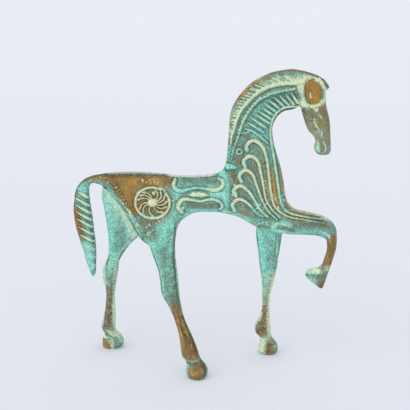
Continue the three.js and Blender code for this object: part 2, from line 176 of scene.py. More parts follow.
MANE_RIDGE = [
    (16.8, 152), (17.5, 157), (19, 162), (20.3, 167), (22.3, 172), (25.3, 176.5), (28.8, 180.5), (32.3, 184),
    (36.5, 187), (41.5, 189.3), (47, 190.8), (53, 191.5), (59, 191.9), (62, 193),
]
FINE_MANE_RIDGE = [
    (17.6, 141.5), (18.2, 146), (19.8, 151.6), (21.8, 157), (24.5, 166), (26.7, 170),
    (28.7, 173.7), (31.2, 176.8), (33.4, 179.3), (35.4, 181), (38.8, 182.7), (42, 184.4), (46.5, 185.7),
    (51.2, 186.8), (57, 188),
]
EDGE_BARS = {"spacing": 1.7, "half": 0.8, "width": 0.8, "height": 0.25}
HAUNCH_BAND = [(-63.5, 121.6), (-58, 116.5), (-53, 109.5), (-48, 102.5), (-44.5, 95.5), (-42, 90.5)]
FAR_LEG_EDGES = [
    [(-61, 62), (-62.8, 48), (-64.2, 34), (-64.6, 20)], [(44.4, 60), (42.4, 48), (41, 34), (41.2, 18)],
]
CURL_WIDTHS = [2.6, 2.6, 2.1, 1.7, 1.4, 1.3, 1.2]
SHOULDER_CURLS = [
    ([(27.2, 147.8), (26.9, 151), (31, 154.2), (36.6, 151), (39.7, 143), (41.2, 132), (42.9, 120),
      (45.5, 111), (53.5, 105), (64, 103), (77.6, 100.7)], [*CURL_WIDTHS, 0.9, 0.7]),
    ([(26.2, 136.8), (25, 140.5), (28.8, 144), (33.6, 141.6), (36, 134), (37.8, 125), (39.4, 116.5),
      (43.2, 109.6), (49, 103.7)], CURL_WIDTHS),
    ([(23.8, 127.3), (22.4, 130.8), (26, 134.7), (30.6, 132.2), (33.4, 125.5), (36.6, 116.5),
      (41.2, 108), (47, 102.4)], CURL_WIDTHS),
    ([(20.3, 117.6), (18.8, 121), (22.8, 124.3), (27.6, 121.7), (32.2, 115), (36.6, 108), (41, 104)],
     [2.9, 2.6, 2.1, 1.8, 1.5]),
    ([(19.5, 107.8), (18.2, 111.6), (21.6, 115.4), (26.8, 113.7), (33.8, 106.5)], [2.9, 2.6, 2.1, 1.7, 1.2]),
]
NECK_BARS = [
    [(54.5, 185.5), (59, 178.8)], [(51.2, 184.3), (56.3, 178)], [(47.3, 183.5), (53, 177.7)],
    [(43.6, 182.5), (50.2, 176.8)], [(40.5, 180.6), (47.3, 175.3)], [(37.9, 178.3), (44.9, 173.4)],
    [(36.3, 175.6), (43, 171.2)], [(34.2, 173.3), (42, 168.4)], [(31, 171.9), (41.2, 165.6)],
    [(28.9, 169.5), (39, 162.7)], [(27.3, 166), (37.8, 159.6)],
]
TAIL_RIBS = [
    [(-82, 117), (-76, 113.5)], [(-84, 112.9), (-75.4, 108)], [(-84.2, 108.5), (-74.8, 103)],
    [(-84, 103.8), (-74.3, 98.4)], [(-83.6, 99), (-73.8, 93.6)], [(-82.6, 93.4), (-73.4, 88.6)],
    [(-81.5, 88), (-73, 83.8)],
]
WORN_TAIL_RIBS = [
    [(-79.9, 81.9), (-72.8, 78)], [(-78.4, 76.2), (-72.8, 72.6)], [(-77.2, 70.2), (-72.8, 66.8)],
]
SHANK_RIDGES = [
    [(-17.2, 42), (-15, 36), (-12.4, 28), (-10.6, 19)], [(-14.6, 42), (-10.8, 33), (-6.8, 25.5), (-4, 18)],
]
SHANK_CREASE = [(-14.4, 34.5), (-12.4, 29.6), (-9.7, 25.2), (-7.5, 21)]
NEAR_HIND_CREASE = [(-12, 11.4), (-7, 9.6), (-3, 10), (1, 12)]
FAR_HIND_CREASE = [(-72.4, 13.6), (-68.7, 10.4), (-64.4, 7.2), (-63.6, 1)]
FAR_FORE_CREASE = [(34, 13.4), (38, 12.6), (41.6, 9.8), (44.6, 4)]

CRUST_SEED = 5
CRUST_STEP = 0.5
CRUST_REACH = 0.8  # how far one may stretch
CRUST_SIZES = ((0.7, 0.3), (1.4, 0.6))  # the least and the largest width and height
# Where lumps of patina lie: a curve, how far they stray from it and their number
CRUSTS = [
    ([(-40, 126), (-28, 124), (-23, 119), (-20.6, 113)], 1.6, 22),
    ([(-42, 96), (-36, 91), (-33, 97), (-27, 101)], 2.0, 30),
    ([(-60, 119.6), (-52, 109.6), (-45, 97)], 1.0, 22), ([(-67, 127), (-59, 124.6)], 1.4, 8),
    ([(37, 99), (46, 99), (56, 97.6)], 1.3, 16), ([(28, 113), (36, 110), (43, 107)], 2.6, 16),
    ([(17, 129), (19, 120), (17, 110)], 1.8, 16), ([(43, 121), (48, 116), (50, 110)], 1.6, 9),
    ([(-41, 88), (-36, 79), (-31, 69), (-29, 58)], 0.7, 14), ([(78, 94), (81.4, 91)], 0.8, 6),
    ([(-82, 117), (-77, 121)], 1.6, 7),
]


# Curves and distances on the face of the plate


def smooth_curve(points, per_span=8):
    """A centripetal Catmull-Rom curve through the points."""
    points = np.asarray(points, float)
    knots = np.vstack([2 * points[0] - points[1], points, 2 * points[-1] - points[-2]])
    spans = []
    for a, b, c, d in zip(knots, knots[1:], knots[2:], knots[3:]):
        steps = [math.sqrt(np.linalg.norm(q - p)) for p, q in ((a, b), (b, c), (c, d))]
        t0, t1, t2, t3 = np.cumsum([0.0, *steps])
        t = np.linspace(t1, t2, per_span, endpoint=False)[:, None]
        ab = ((t1 - t) * a + (t - t0) * b) / (t1 - t0)
        bc = ((t2 - t) * b + (t - t1) * c) / (t2 - t1)
        cd = ((t3 - t) * c + (t - t2) * d) / (t3 - t2)
        abc = ((t2 - t) * ab + (t - t0) * bc) / (t2 - t0)
        bcd = ((t3 - t) * bc + (t - t1) * cd) / (t3 - t1)
        spans.append(((t2 - t) * abc + (t - t1) * bcd) / (t2 - t1))
    return np.vstack([*spans, points[-1:]])


def curve(points, spacing):
    """Points the given distance apart on the smooth curve, and where each lies along it from 0 to 1."""
    path = smooth_curve(points)
    lengths = np.concatenate([[0.0], np.cumsum(np.linalg.norm(np.diff(path, axis=0), axis=1))])
    count = max(2, int(lengths[-1] / spacing) + 1)
    along = np.linspace(0.0, 1.0, count)
    columns = [np.interp(along * lengths[-1], lengths, path[:, axis]) for axis in (0, 1)]
    return np.column_stack(columns), along


def window(points, margin):
    """The part of the face grid round the points: its place in the grid, and x and z there."""
    low = np.min(points, axis=0) - margin
    high = np.max(points, axis=0) + margin
    columns = slice(*np.searchsorted(GRID_X, (low[0], high[0])))
    rows = slice(*np.searchsorted(GRID_Z, (low[1], high[1])))
    return (rows, columns), FACE_X[rows, columns], FACE_Z[rows, columns]


def outline_distance(outline):
    """Signed distance to a closed outline on the face grid, positive inside."""
    distance = np.full(FACE_X.shape, -REACH)
    at, x, z = window(outline, REACH)
    nearest = np.full(x.shape, np.inf)
    inside = np.zeros(x.shape, bool)
    for (ax, az), (bx, bz) in zip(outline, np.roll(outline, -1, axis=0)):
        dx, dz = bx - ax, bz - az
        if dx == 0 and dz == 0:
            continue
        t = np.clip(((x - ax) * dx + (z - az) * dz) / (dx * dx + dz * dz), 0.0, 1.0)
        nearest = np.minimum(nearest, (x - ax - t * dx) ** 2 + (z - az - t * dz) ** 2)
        if dz != 0:
            inside ^= ((z < az) != (z < bz)) & (x < ax + (z - az) * dx / dz)
    distance[at] = np.where(inside, 1.0, -1.0) * np.sqrt(nearest)
    return np.maximum(distance, -REACH)


def smooth_max(a, b, softness):
    """The larger of the two, rounded off where they are nearly the same."""
    blend = np.maximum(softness - np.abs(a - b), 0.0) / softness
    return np.maximum(a, b) + blend * blend * softness / 4


def wobble(seed, size, count=14):
    """Smooth unevenness between about -1 and 1 on the face grid, with waves of about the given size."""
    random = np.random.default_rng(seed)
    total = np.zeros(FACE_X.shape)
    for _ in range(count):
        heading, phase = random.uniform(0.0, 2 * math.pi, 2)
        pitch = 2 * math.pi / (size * random.uniform(0.7, 1.6))
        total += np.sin(pitch * (FACE_X * math.cos(heading) + FACE_Z * math.sin(heading)) + phase)
    return total / math.sqrt(count)


# Limbs


def limb_distance(stations):
    """Signed distance to the outline of a limb between its two smooth edges."""
    rear = smooth_curve([station[0:2] for station in stations])
    front = smooth_curve([station[2:4] for station in stations])
    return outline_distance(np.vstack([rear, front[::-1]]))


def half_by_height(stations):
    """The half thickness on the face grid, from stations in order of height."""
    stations = np.array(stations, float)
    heights = (stations[:, 1] + stations[:, 3]) / 2
    order = np.argsort(heights)
    halves = np.interp(GRID_Z, heights[order], stations[order, 4])
    return np.repeat(halves[:, None], len(GRID_X), axis=1)


def leg_sheet(levels, splay):
    """A splayed leg as a sheet of its own, which widens into its hoof."""
    stations = [(rear, z, front, z, half) for z, rear, front, half in levels]
    distance, half = limb_distance(stations), half_by_height(stations)
    rounding = np.interp(FACE_Z, HOOF_HEIGHTS, (HOOF_ROUND, EDGE_ROUND))
    return {"distance": distance, "half": half, "round": rounding, "splay": splay}


def plate_sheet():
    """Body, neck, raised foreleg, head, forelock and tail in one flat sheet."""
    flat = np.full(FACE_X.shape, PLATE_HALF)
    limbs = [
        (limb_distance(TRUNK), flat),
        (limb_distance(NECK + FOREARM), half_by_height(FOREARM)),
        (limb_distance(HEAD), half_by_height(HEAD)),
        (limb_distance(FORELOCK), half_by_height(FORELOCK)),
        (limb_distance(TAIL), half_by_height(TAIL)),
    ]
    distance = limbs[0][0]
    weight = np.zeros(FACE_X.shape)
    thickness = np.zeros(FACE_X.shape)
    for limb, half in limbs:
        distance = smooth_max(distance, limb, LIMB_MELT)
        share = np.clip(limb + 1.0, 0.001, 3.0)  # larger where the point lies deep in the limb
        weight += share
        thickness += share * half
    rounding = np.full(FACE_X.shape, EDGE_ROUND)
    return {"distance": distance, "half": thickness / weight, "round": rounding, "splay": FLAT}


# Relief


class Relief:
    """Height of one face above the plate, and where its raised lines and grooves are."""

    def __init__(self):
        self.height = np.zeros(FACE_X.shape)
        self.outside = np.full(FACE_X.shape, REACH)  # distance to the nearest raised line, below 0 on it
        self.ridge = np.zeros(FACE_X.shape)  # 1 on a full raised line, less on a low one

    def line(self, points, widths, height=RIDGE, coloured=True, grooved=True):
        """A raised line. The widths and heights are spread evenly along it."""
        path, along = curve(points, PATH_STEP)
        half, tall = (
            np.interp(along, np.linspace(0, 1, len(values)), values)
            for values in (np.atleast_1d(widths) / 2, np.atleast_1d(height))
        )
        at, x, z = window(path, LINE_MARGIN)
        crest = np.zeros(x.shape)
        colour = np.zeros(x.shape)
        outside = np.full(x.shape, REACH)
        for (px, pz), reach, top in zip(path, half, tall):
            distance = np.hypot(x - px, z - pz)
            crest = np.maximum(crest, top * np.sqrt(np.maximum(1.0 - (distance / reach) ** 2, 0.0)))
            colour = np.maximum(colour, self.covered(1.0 - distance / (reach + RIDGE_SPILL), top, reach))
            outside = np.minimum(outside, distance - reach)
        self.height[at] = np.maximum(self.height[at], crest)
        if coloured:
            self.ridge[at] = np.maximum(self.ridge[at], colour)
        if grooved:
            self.outside[at] = np.minimum(self.outside[at], outside)

    def boss(self, x, z, wide, tall, height, lean=0.0, edge=0.8):
        """A raised oval with a soft edge, which takes up the given share of its radius."""
        radius = self.oval(x, z, wide, tall, lean)
        crest = np.clip((1.0 - radius) / edge, 0.0, 1.0)
        crest = crest * (2 - crest)
        self.height = np.maximum(self.height, height * crest)
        outside = (radius - 1.0) * min(wide, tall)
        self.outside = np.minimum(self.outside, outside)
        self.ridge = np.maximum(self.ridge, self.covered(RIDGE_SPILL - outside, height))

    def cut(self, points, width, depth):
        """A groove along a curve."""
        path, _ = curve(points, PATH_STEP)
        at, x, z = window(path, LINE_MARGIN)
        nearest = np.full(x.shape, np.inf)
        for px, pz in path:
            nearest = np.minimum(nearest, np.hypot(x - px, z - pz))
        self.height[at] -= depth * np.exp(-((2 * nearest / width) ** 2))

    def dimple(self, x, z, size, depth):
        """A small round hollow."""
        self.height -= depth * np.exp(-(self.oval(x, z, size, size) ** 2))

    @staticmethod
    def oval(x, z, wide, tall, lean=0.0):
        """1 on the rim of an oval, 0 at its centre."""
        dx, dz = FACE_X - x, FACE_Z - z
        across = dx * math.cos(lean) + dz * math.sin(lean)
        up = dz * math.cos(lean) - dx * math.sin(lean)
        return np.hypot(across / wide, up / tall)

    def beads(self, path, spacing, size, height):
        """Small round bosses along a curve."""
        for x, z in curve(path, spacing)[0]:
            self.line([(x, z - 0.05), (x, z + 0.05)], size, height)

    @staticmethod
    def covered(colour, height, reach=1.0):
        """The colour that a raised line holds. Low and narrow ones hold less."""
        tall = min(1.0, height / FULL_RIDGE)
        wide = min(1.0, THIN_COLOUR + COLOUR_PER_MM * reach)
        return np.clip(COLOUR_GAIN * colour, 0.0, 1.0) * tall * wide

    def groove(self):
        """1 in the groove beside a raised line and 0 further off."""
        near = np.maximum(self.outside - GROOVE_START, 0.0)
        return np.exp(-((near / GROOVE_WIDTH) ** 2)) * np.clip(self.outside / GROOVE_START, 0.0, 1.0)

    def finished(self):
        """The height with the grooves cut."""
        return self.height - GROOVE * self.groove()


def polar(centre, radius, degrees):
    """The point at a radius and an angle round a centre. The share "tall" flattens the circle."""
    angle = math.radians(degrees)
    return centre["x"] + radius * math.cos(angle), centre["z"] + radius * centre["tall"] * math.sin(angle)


def rosette(face):
    x, z, ring, hub = (ROSETTE[key] for key in ("x", "z", "ring", "hub"))
    opens, closes = ROSETTE_OPENING
    rim = [polar(ROSETTE, ring, degrees) for degrees in np.linspace(closes, 360 + opens, 25)]
    face.line(rim, [1.3, 1.9, 2.1, 2.1, 1.9, 1.6])
    inner, length = hub - 0.5, ring - 1.1 - hub
    for degrees in ROSETTE_ARMS:
        start = degrees - ROSETTE_SWEEP
        arm = [polar(ROSETTE, inner + length * t, start + ROSETTE_SWEEP * t * t) for t in (0, 0.35, 0.7, 1)]
        face.line(arm, [0.9, 1.0, 1.1, 1.3], 0.8 * RIDGE)
    face.boss(x, z, hub, hub * ROSETTE["tall"], 1.0, edge=0.6)
    face.boss(-33, 117.8, 1.3, 1.3, 0.6)


def shoulder_curls(face):
    """The first curl runs on along the forearm and fades there."""
    for i, (path, widths) in enumerate(SHOULDER_CURLS):
        face.line(path, widths, RIDGE if i > 0 else [RIDGE, RIDGE, RIDGE, FADED_RIDGE])


def flank_curls(face):
    upper = [
        (-19, 127), (-20, 123.8), (-18.4, 120.8), (-14.6, 119.8), (-10.4, 121), (-4, 122.2), (2, 121.4),
        (7.5, 120.9), (11.6, 123.8), (11.4, 127.6), (8.8, 128.8),
    ]
    lower = [
        (-14.6, 105.6), (-17.2, 109.4), (-14, 114.2), (-8, 114), (-3, 113.3), (4, 114.8), (10, 113.2),
        (11.4, 110), (9.8, 108.2),
    ]
    face.line(upper, [2.2, 3.0, 2.6, 1.5, 1.4, 2.0, 2.7, 2.4, 1.4])
    face.line(lower, [2.8, 3.0, 2.1, 1.6, 1.7, 2.1, 1.6])
    face.line([(-10.3, 117.5), (-3.8, 117.9), (2.8, 117.5)], [0.8, 3.4, 3.8, 3.2, 0.6], 0.9)
    face.boss(-13.8, 108.5, 1.1, 1.1, 0.8)
    face.boss(-20.3, 113.2, 0.8, 0.8, 0.5)


def mane_ridges(face):
    face.line(MANE_RIDGE, [1.0, 1.9, 2.2, 2.4, 2.8])
    face.line(FINE_MANE_RIDGE, [0.6, 1.1, 1.1, 1.1], [0.3, 0.7, 0.7, 0.7])


def mane_strokes(face):
    """Short slanted strokes between the mane's broad ridge and the crest, and scallops on its fine ridge."""
    crest = [(16.4, 154), (16.9, 163), (18.6, 172), (23, 181), (30, 189), (40, 194.8), (55, 197.5)]
    inner, outer = (curve(points, PATH_STEP)[0] for points in (MANE_RIDGE, crest))
    random = np.random.default_rng(MANE_SEED)
    for i in range(MANE_STROKES):
        along = MANE_SPAN * max((i + random.uniform(-0.25, 0.25)) / MANE_STROKES, 0.0)
        foot = inner[int((MANE_FEET_FROM + along) * (len(inner) - 1))]
        tip = outer[int((MANE_TIPS_FROM + along) * (len(outer) - 1))]
        tip = foot + (tip - foot) * random.uniform(0.7, 1.0)
        widths = [1.2, random.uniform(0.6, 1.1)]
        height = random.uniform(0.4, 0.7)
        grooved = random.random() < 0.5
        face.line([foot, tip], widths, height, grooved=grooved)
    scallops = [(x - 0.5, z + 0.5) for x, z in FINE_MANE_RIDGE]
    face.beads(scallops, 2.4, 1.0, 0.6 * RIDGE)


def neck_bars(face):
    for bar in NECK_BARS:
        face.line(bar, [0.7, 1.4, 1.8, 1.3], 0.9 * RIDGE)
    face.line([(26, 161.7), (30, 160.5), (35, 157.3), (40.5, 152.5)], [0.8, 1.4, 1.4, 0.9])
    face.line([(24, 158.8), (26, 158.9), (28.5, 159.9)], [0.9, 1.1], 0.7 * RIDGE)


def throat_line(face):
    path = [
        (59.5, 176.8), (50.5, 175.8), (44.6, 171), (42, 162), (42.3, 155), (44.2, 144), (46.2, 132),
        (47.7, 122), (49.8, 113), (53.6, 107.9), (62, 105.4), (75.6, 103.6),
    ]
    face.line(path, [1.2, 1.4, 1.5, 1.5, 1.2, 0.7], [RIDGE, RIDGE, RIDGE, RIDGE, FADED_RIDGE])


def tail_ribs(face):
    widths = [0.9, 1.6, 2.1, 1.8]
    for rib in TAIL_RIBS:
        face.line(rib, widths)
    for rib in WORN_TAIL_RIBS:
        face.line(rib, widths, 0.45 * RIDGE, grooved=False)
    face.dimple(-78.4, 121.8, 0.9, 0.8)


def eye_and_face(face):
    face.boss(**EYE, height=EYE_HEIGHT, edge=0.3)
    face.line(PUPIL, PUPIL_WIDTHS, EYE_HEIGHT + 0.4)
    face.line([(71.5, 195), (73.5, 192), (75.5, 188.5), (76.5, 186.5)], [1.2, 1.8, 1.4, 0.8], 0.6)


def face_lines(face):
    """Cheek, nostril and mouth, on the near face only."""
    lines = [
        ([(68.6, 176.6), (69.9, 175.2), (71, 174.2)], [0.8, 1.0]),
        ([(72, 176.2), (71.1, 174.4)], [0.7, 0.9]),
        ([(72.3, 171.8), (74, 169.8)], [0.9, 1.2, 0.8]),
        ([(69.2, 169.5), (69.8, 166.5), (71, 164), (72.8, 162.6)], [0.9, 1.5, 1.5, 0.8]),
        ([(74.3, 161), (74, 158)], [0.8, 1.1]),
        ([(72.3, 153.5), (72.1, 150), (73.3, 147.7)], [1.2, 1.9, 1.1]),
        ([(74.8, 154.5), (76.5, 152.5), (76.8, 149.5), (76, 147.7)], [0.9, 1.5, 1.5, 0.9]),
    ]
    for points, widths in lines:
        face.line(points, widths, 0.65, grooved=False)


def small_marks(face):
    """A ring, a few small strokes and rows of beads that only the near face has."""
    ring = [polar({"x": 22.3, "z": 146.8, "tall": 1.0}, 1.7, degrees) for degrees in np.linspace(0, 360, 13)]
    face.line(ring, 1.1, 0.6)
    face.line([(33, 106), (35.5, 105.2), (38, 104)], [0.8, 1.2, 0.8], 0.5)
    face.line([(14.4, 137), (17, 136.8), (21, 136)], [3.8, 3.6, 2.2, 0.4], 0.45, coloured=False)
    face.line([(50.6, 116.2), (51.3, 114.4)], [0.9, 0.7], 0.5)
    face.beads(HAUNCH_BAND, 1.7, 1.1, 0.26)
    face.beads([(-57.3, 121), (-54.5, 117.3), (-51.3, 111.5), (-47.8, 105.2), (-44.6, 100.3)], 2.3, 1.0, 0.4)
    face.boss(-57.4, 121, 1.2, 1.0, 0.45)
    face.boss(-43.5, 96.5, 0.9, 1.4, 0.4)
    face.boss(-35.8, 96.8, 1.0, 1.2, 0.4)


def crusts(face):
    """Small lumps of patina scattered along some edges and in some corners."""
    random = np.random.default_rng(CRUST_SEED)
    for path, spread, count in CRUSTS:
        places, _ = curve(path, CRUST_STEP)
        for place in places[random.integers(0, len(places), count)]:
            start = place + random.normal(0.0, spread, 2)
            end = start + random.uniform(-CRUST_REACH, CRUST_REACH, 2)
            size, height = random.uniform(*CRUST_SIZES)
            face.line([start, end], size, height, grooved=False)


def leg_lines(face):
    """Low ridges on the legs, creases above the hooves and short bars across the edges of the far legs."""
    face.line([(47.4, 91), (47, 84), (46.2, 76)], [0.6, 1.1, 0.6], 0.4)
    for path in FAR_LEG_EDGES:
        for x, z in curve(path, EDGE_BARS["spacing"])[0]:
            bar = [(x - EDGE_BARS["half"], z), (x + EDGE_BARS["half"], z)]
            face.line(bar, EDGE_BARS["width"], EDGE_BARS["height"])
    for path in SHANK_RIDGES:
        face.line(path, [0.8, 1.8, 2.2, 1.2], 0.7, coloured=False, grooved=False)
    for path in (SHANK_CREASE, NEAR_HIND_CREASE, FAR_HIND_CREASE, FAR_FORE_CREASE):
        face.cut(path, CREASE_WIDTH, CREASE_DEPTH)


def relief_of(near):
    """The relief of the near or the far face. The far one has the large forms alone."""
    face = Relief()
    for work in (rosette, shoulder_curls, flank_curls, mane_ridges, throat_line, tail_ribs, eye_and_face):
        work(face)
    if near:
        for work in (mane_strokes, neck_bars, face_lines, small_marks, crusts, leg_lines):
            work(face)
    return face


# The body and its surface


def splay_at(splay, z):
    """How far a sheet's middle lies to the side at a height. It leans from the start of its splay down."""
    ramp = BEND_SOFTNESS * np.log1p(np.exp((splay["start"] - z) / BEND_SOFTNESS))
    return splay["offset"] + splay["slope"] * ramp


def cast(sheets, near, far):
    """The field of the whole casting on the grid (z, x, y), below 0 inside it."""
    field = np.full((len(GRID_Z), len(GRID_X), len(GRID_Y)), 2 * SHEET_MELT, np.float32)
    for sheet in sheets:
        for row, z in enumerate(GRID_Z):
            cells = np.nonzero(sheet["distance"][row] > -SKIN)[0]
            if len(cells) == 0:
                continue
            columns = slice(cells[0], cells[-1] + 1)
            middle = splay_at(sheet["splay"], z)
            reach = sheet["half"][row, columns].max() + 2 * RIDGE + SKIN
            depth = slice(*np.searchsorted(GRID_Y, (middle - reach, middle + reach)))
            y = GRID_Y[depth][None, :] - middle
            relief = np.where(y < 0, near[row, columns][:, None], far[row, columns][:, None])
            distance, half, rounding = (
                sheet[key][row, columns][:, None] for key in ("distance", "half", "round")
            )
            rim = np.maximum(rounding - distance, 0.0)
            body = np.hypot(rim, y * rounding / (half + relief)) - rounding
            block = field[row, columns, depth]
            field[row, columns, depth] = -smooth_max(-block, -body, SHEET_MELT)
    above_ground = -GRID_Z[:, None, None].astype(np.float32)
    return np.maximum(field, above_ground)


def surface_net(field):
    """Vertices (in cells of the grid) and quads of the surface where the field is 0, facing outwards."""
    inside = field < 0
    sizes = np.array(field.shape) - 1
    corners = list(np.ndindex(2, 2, 2))
    count = np.zeros(sizes, np.uint8)
    for corner in corners:
        count += inside[tuple(slice(c, c + n) for c, n in zip(corner, sizes))]
    crossed = (count > 0) & (count < len(corners))
    cells = np.argwhere(crossed)
    number = np.full(field.shape, -1, np.int64)
    number[tuple(cells.T)] = np.arange(len(cells))
    units = np.eye(3, dtype=np.int64)
    total = np.zeros((len(cells), 3))
    hits = np.zeros(len(cells))
    for axis, unit in enumerate(units):
        for corner in corners:
            if corner[axis]:
                continue
            start = cells + corner
            a = field[tuple(start.T)]
            b = field[tuple((start + unit).T)]
            cut = (a < 0) != (b < 0)
            t = np.where(cut, a / np.where(cut, a - b, 1.0), 0.0)
            total += cut[:, None] * (np.array(corner) + t[:, None] * unit)
            hits += cut
    quads = []
    for axis in range(3):
        u, v = units[(axis + 1) % 3], units[(axis + 2) % 3]
        first = tuple(slice(0, -1) if k == axis else slice(1, -1) for k in range(3))
        second = tuple(slice(1, None) if k == axis else slice(1, -1) for k in range(3))
        at = np.argwhere(inside[first] != inside[second]) + (1 - units[axis])
        ring = np.stack([number[tuple(c.T)] for c in (at, at - u, at - u - v, at - v)], axis=1)
        turned = ~inside[tuple(at.T)]
        ring[turned] = ring[turned][:, ::-1]
        quads.append(ring)
    return cells + total / hits[:, None], np.vstack(quads)


def placed(name, data):
    """A new object of the scene."""
    thing = bpy.data.objects.new(name, data)
    bpy.context.scene.collection.objects.link(thing)
    return thing


def mesh_object(name, vertices, quads):
    """A smooth shaded object of quads, without a material."""
    mesh = bpy.data.meshes.new(name)
    mesh.vertices.add(len(vertices))
    mesh.vertices.foreach_set("co", vertices.astype(np.float32).ravel())
    mesh.loops.add(4 * len(quads))
    mesh.loops.foreach_set("vertex_index", quads.astype(np.int32).ravel())
    mesh.polygons.add(len(quads))
    mesh.polygons.foreach_set("loop_start", np.arange(0, 4 * len(quads), 4, dtype=np.int32))
    mesh.polygons.foreach_set("use_smooth", np.ones(len(quads), bool))
    mesh.update(calc_edges=True)
    mesh.validate()
    return placed(name, mesh)


def thinned(thing, triangles):
    """Brings the object's mesh down to about the given number of triangles."""
    modifier = thing.modifiers.new("fewer triangles", "DECIMATE")
    modifier.ratio = min(1.0, triangles / (2 * len(thing.data.polygons)))
    modifier.use_collapse_triangulate = True
    graph = bpy.context.evaluated_depsgraph_get()
    mesh = bpy.data.meshes.new_from_object(thing.evaluated_get(graph))
    thing.modifiers.clear()
    old = thing.data
    thing.data = mesh
    bpy.data.meshes.remove(old)
    mesh.name = thing.name


# Patina, painted shade and painted highlight: strokes on the drawing, each with its points, its radius and
# how strong it is from 0 to 1. Several strengths are spread evenly along a stroke. The near ones mark the
# plate and the near hind leg, the far ones the two legs behind, and both faces of a limb take them alike.

STROKE_STEP = 0.5  # between the points that a stroke is drawn with
STROKE_FULL = 0.3  # in radii: how far out a stroke is at full strength
STROKE_END = 1.8  # in radii: where it has faded out
CREST = [(15.6, 158), (18, 170), (24.6, 181), (35, 190), (48, 194.4), (58, 195.6)]
FACE_GAIN = 2.5  # a surface counts fully as a face once its normal points sideways by 1 / 2.5
RIM_DEPTH = 0.9  # how far inside the outline the dark rim lies: painted shade on the rounded edge, partly dark patina
RIM_WIDTH = 0.8
EYE_RIM = 1.1  # outer edge of the metal round the eye, as a share of its size
EYE_SHARPNESS = 12
HIDING = 0.85  # how much the painted shade and grime hide pale powder, and a ridge hides them
DUST_AND_HIGHLIGHT_TURN = (0.15, 0.5)  # how far an edge turns away from the side where the dust and painted highlight start and where they are full
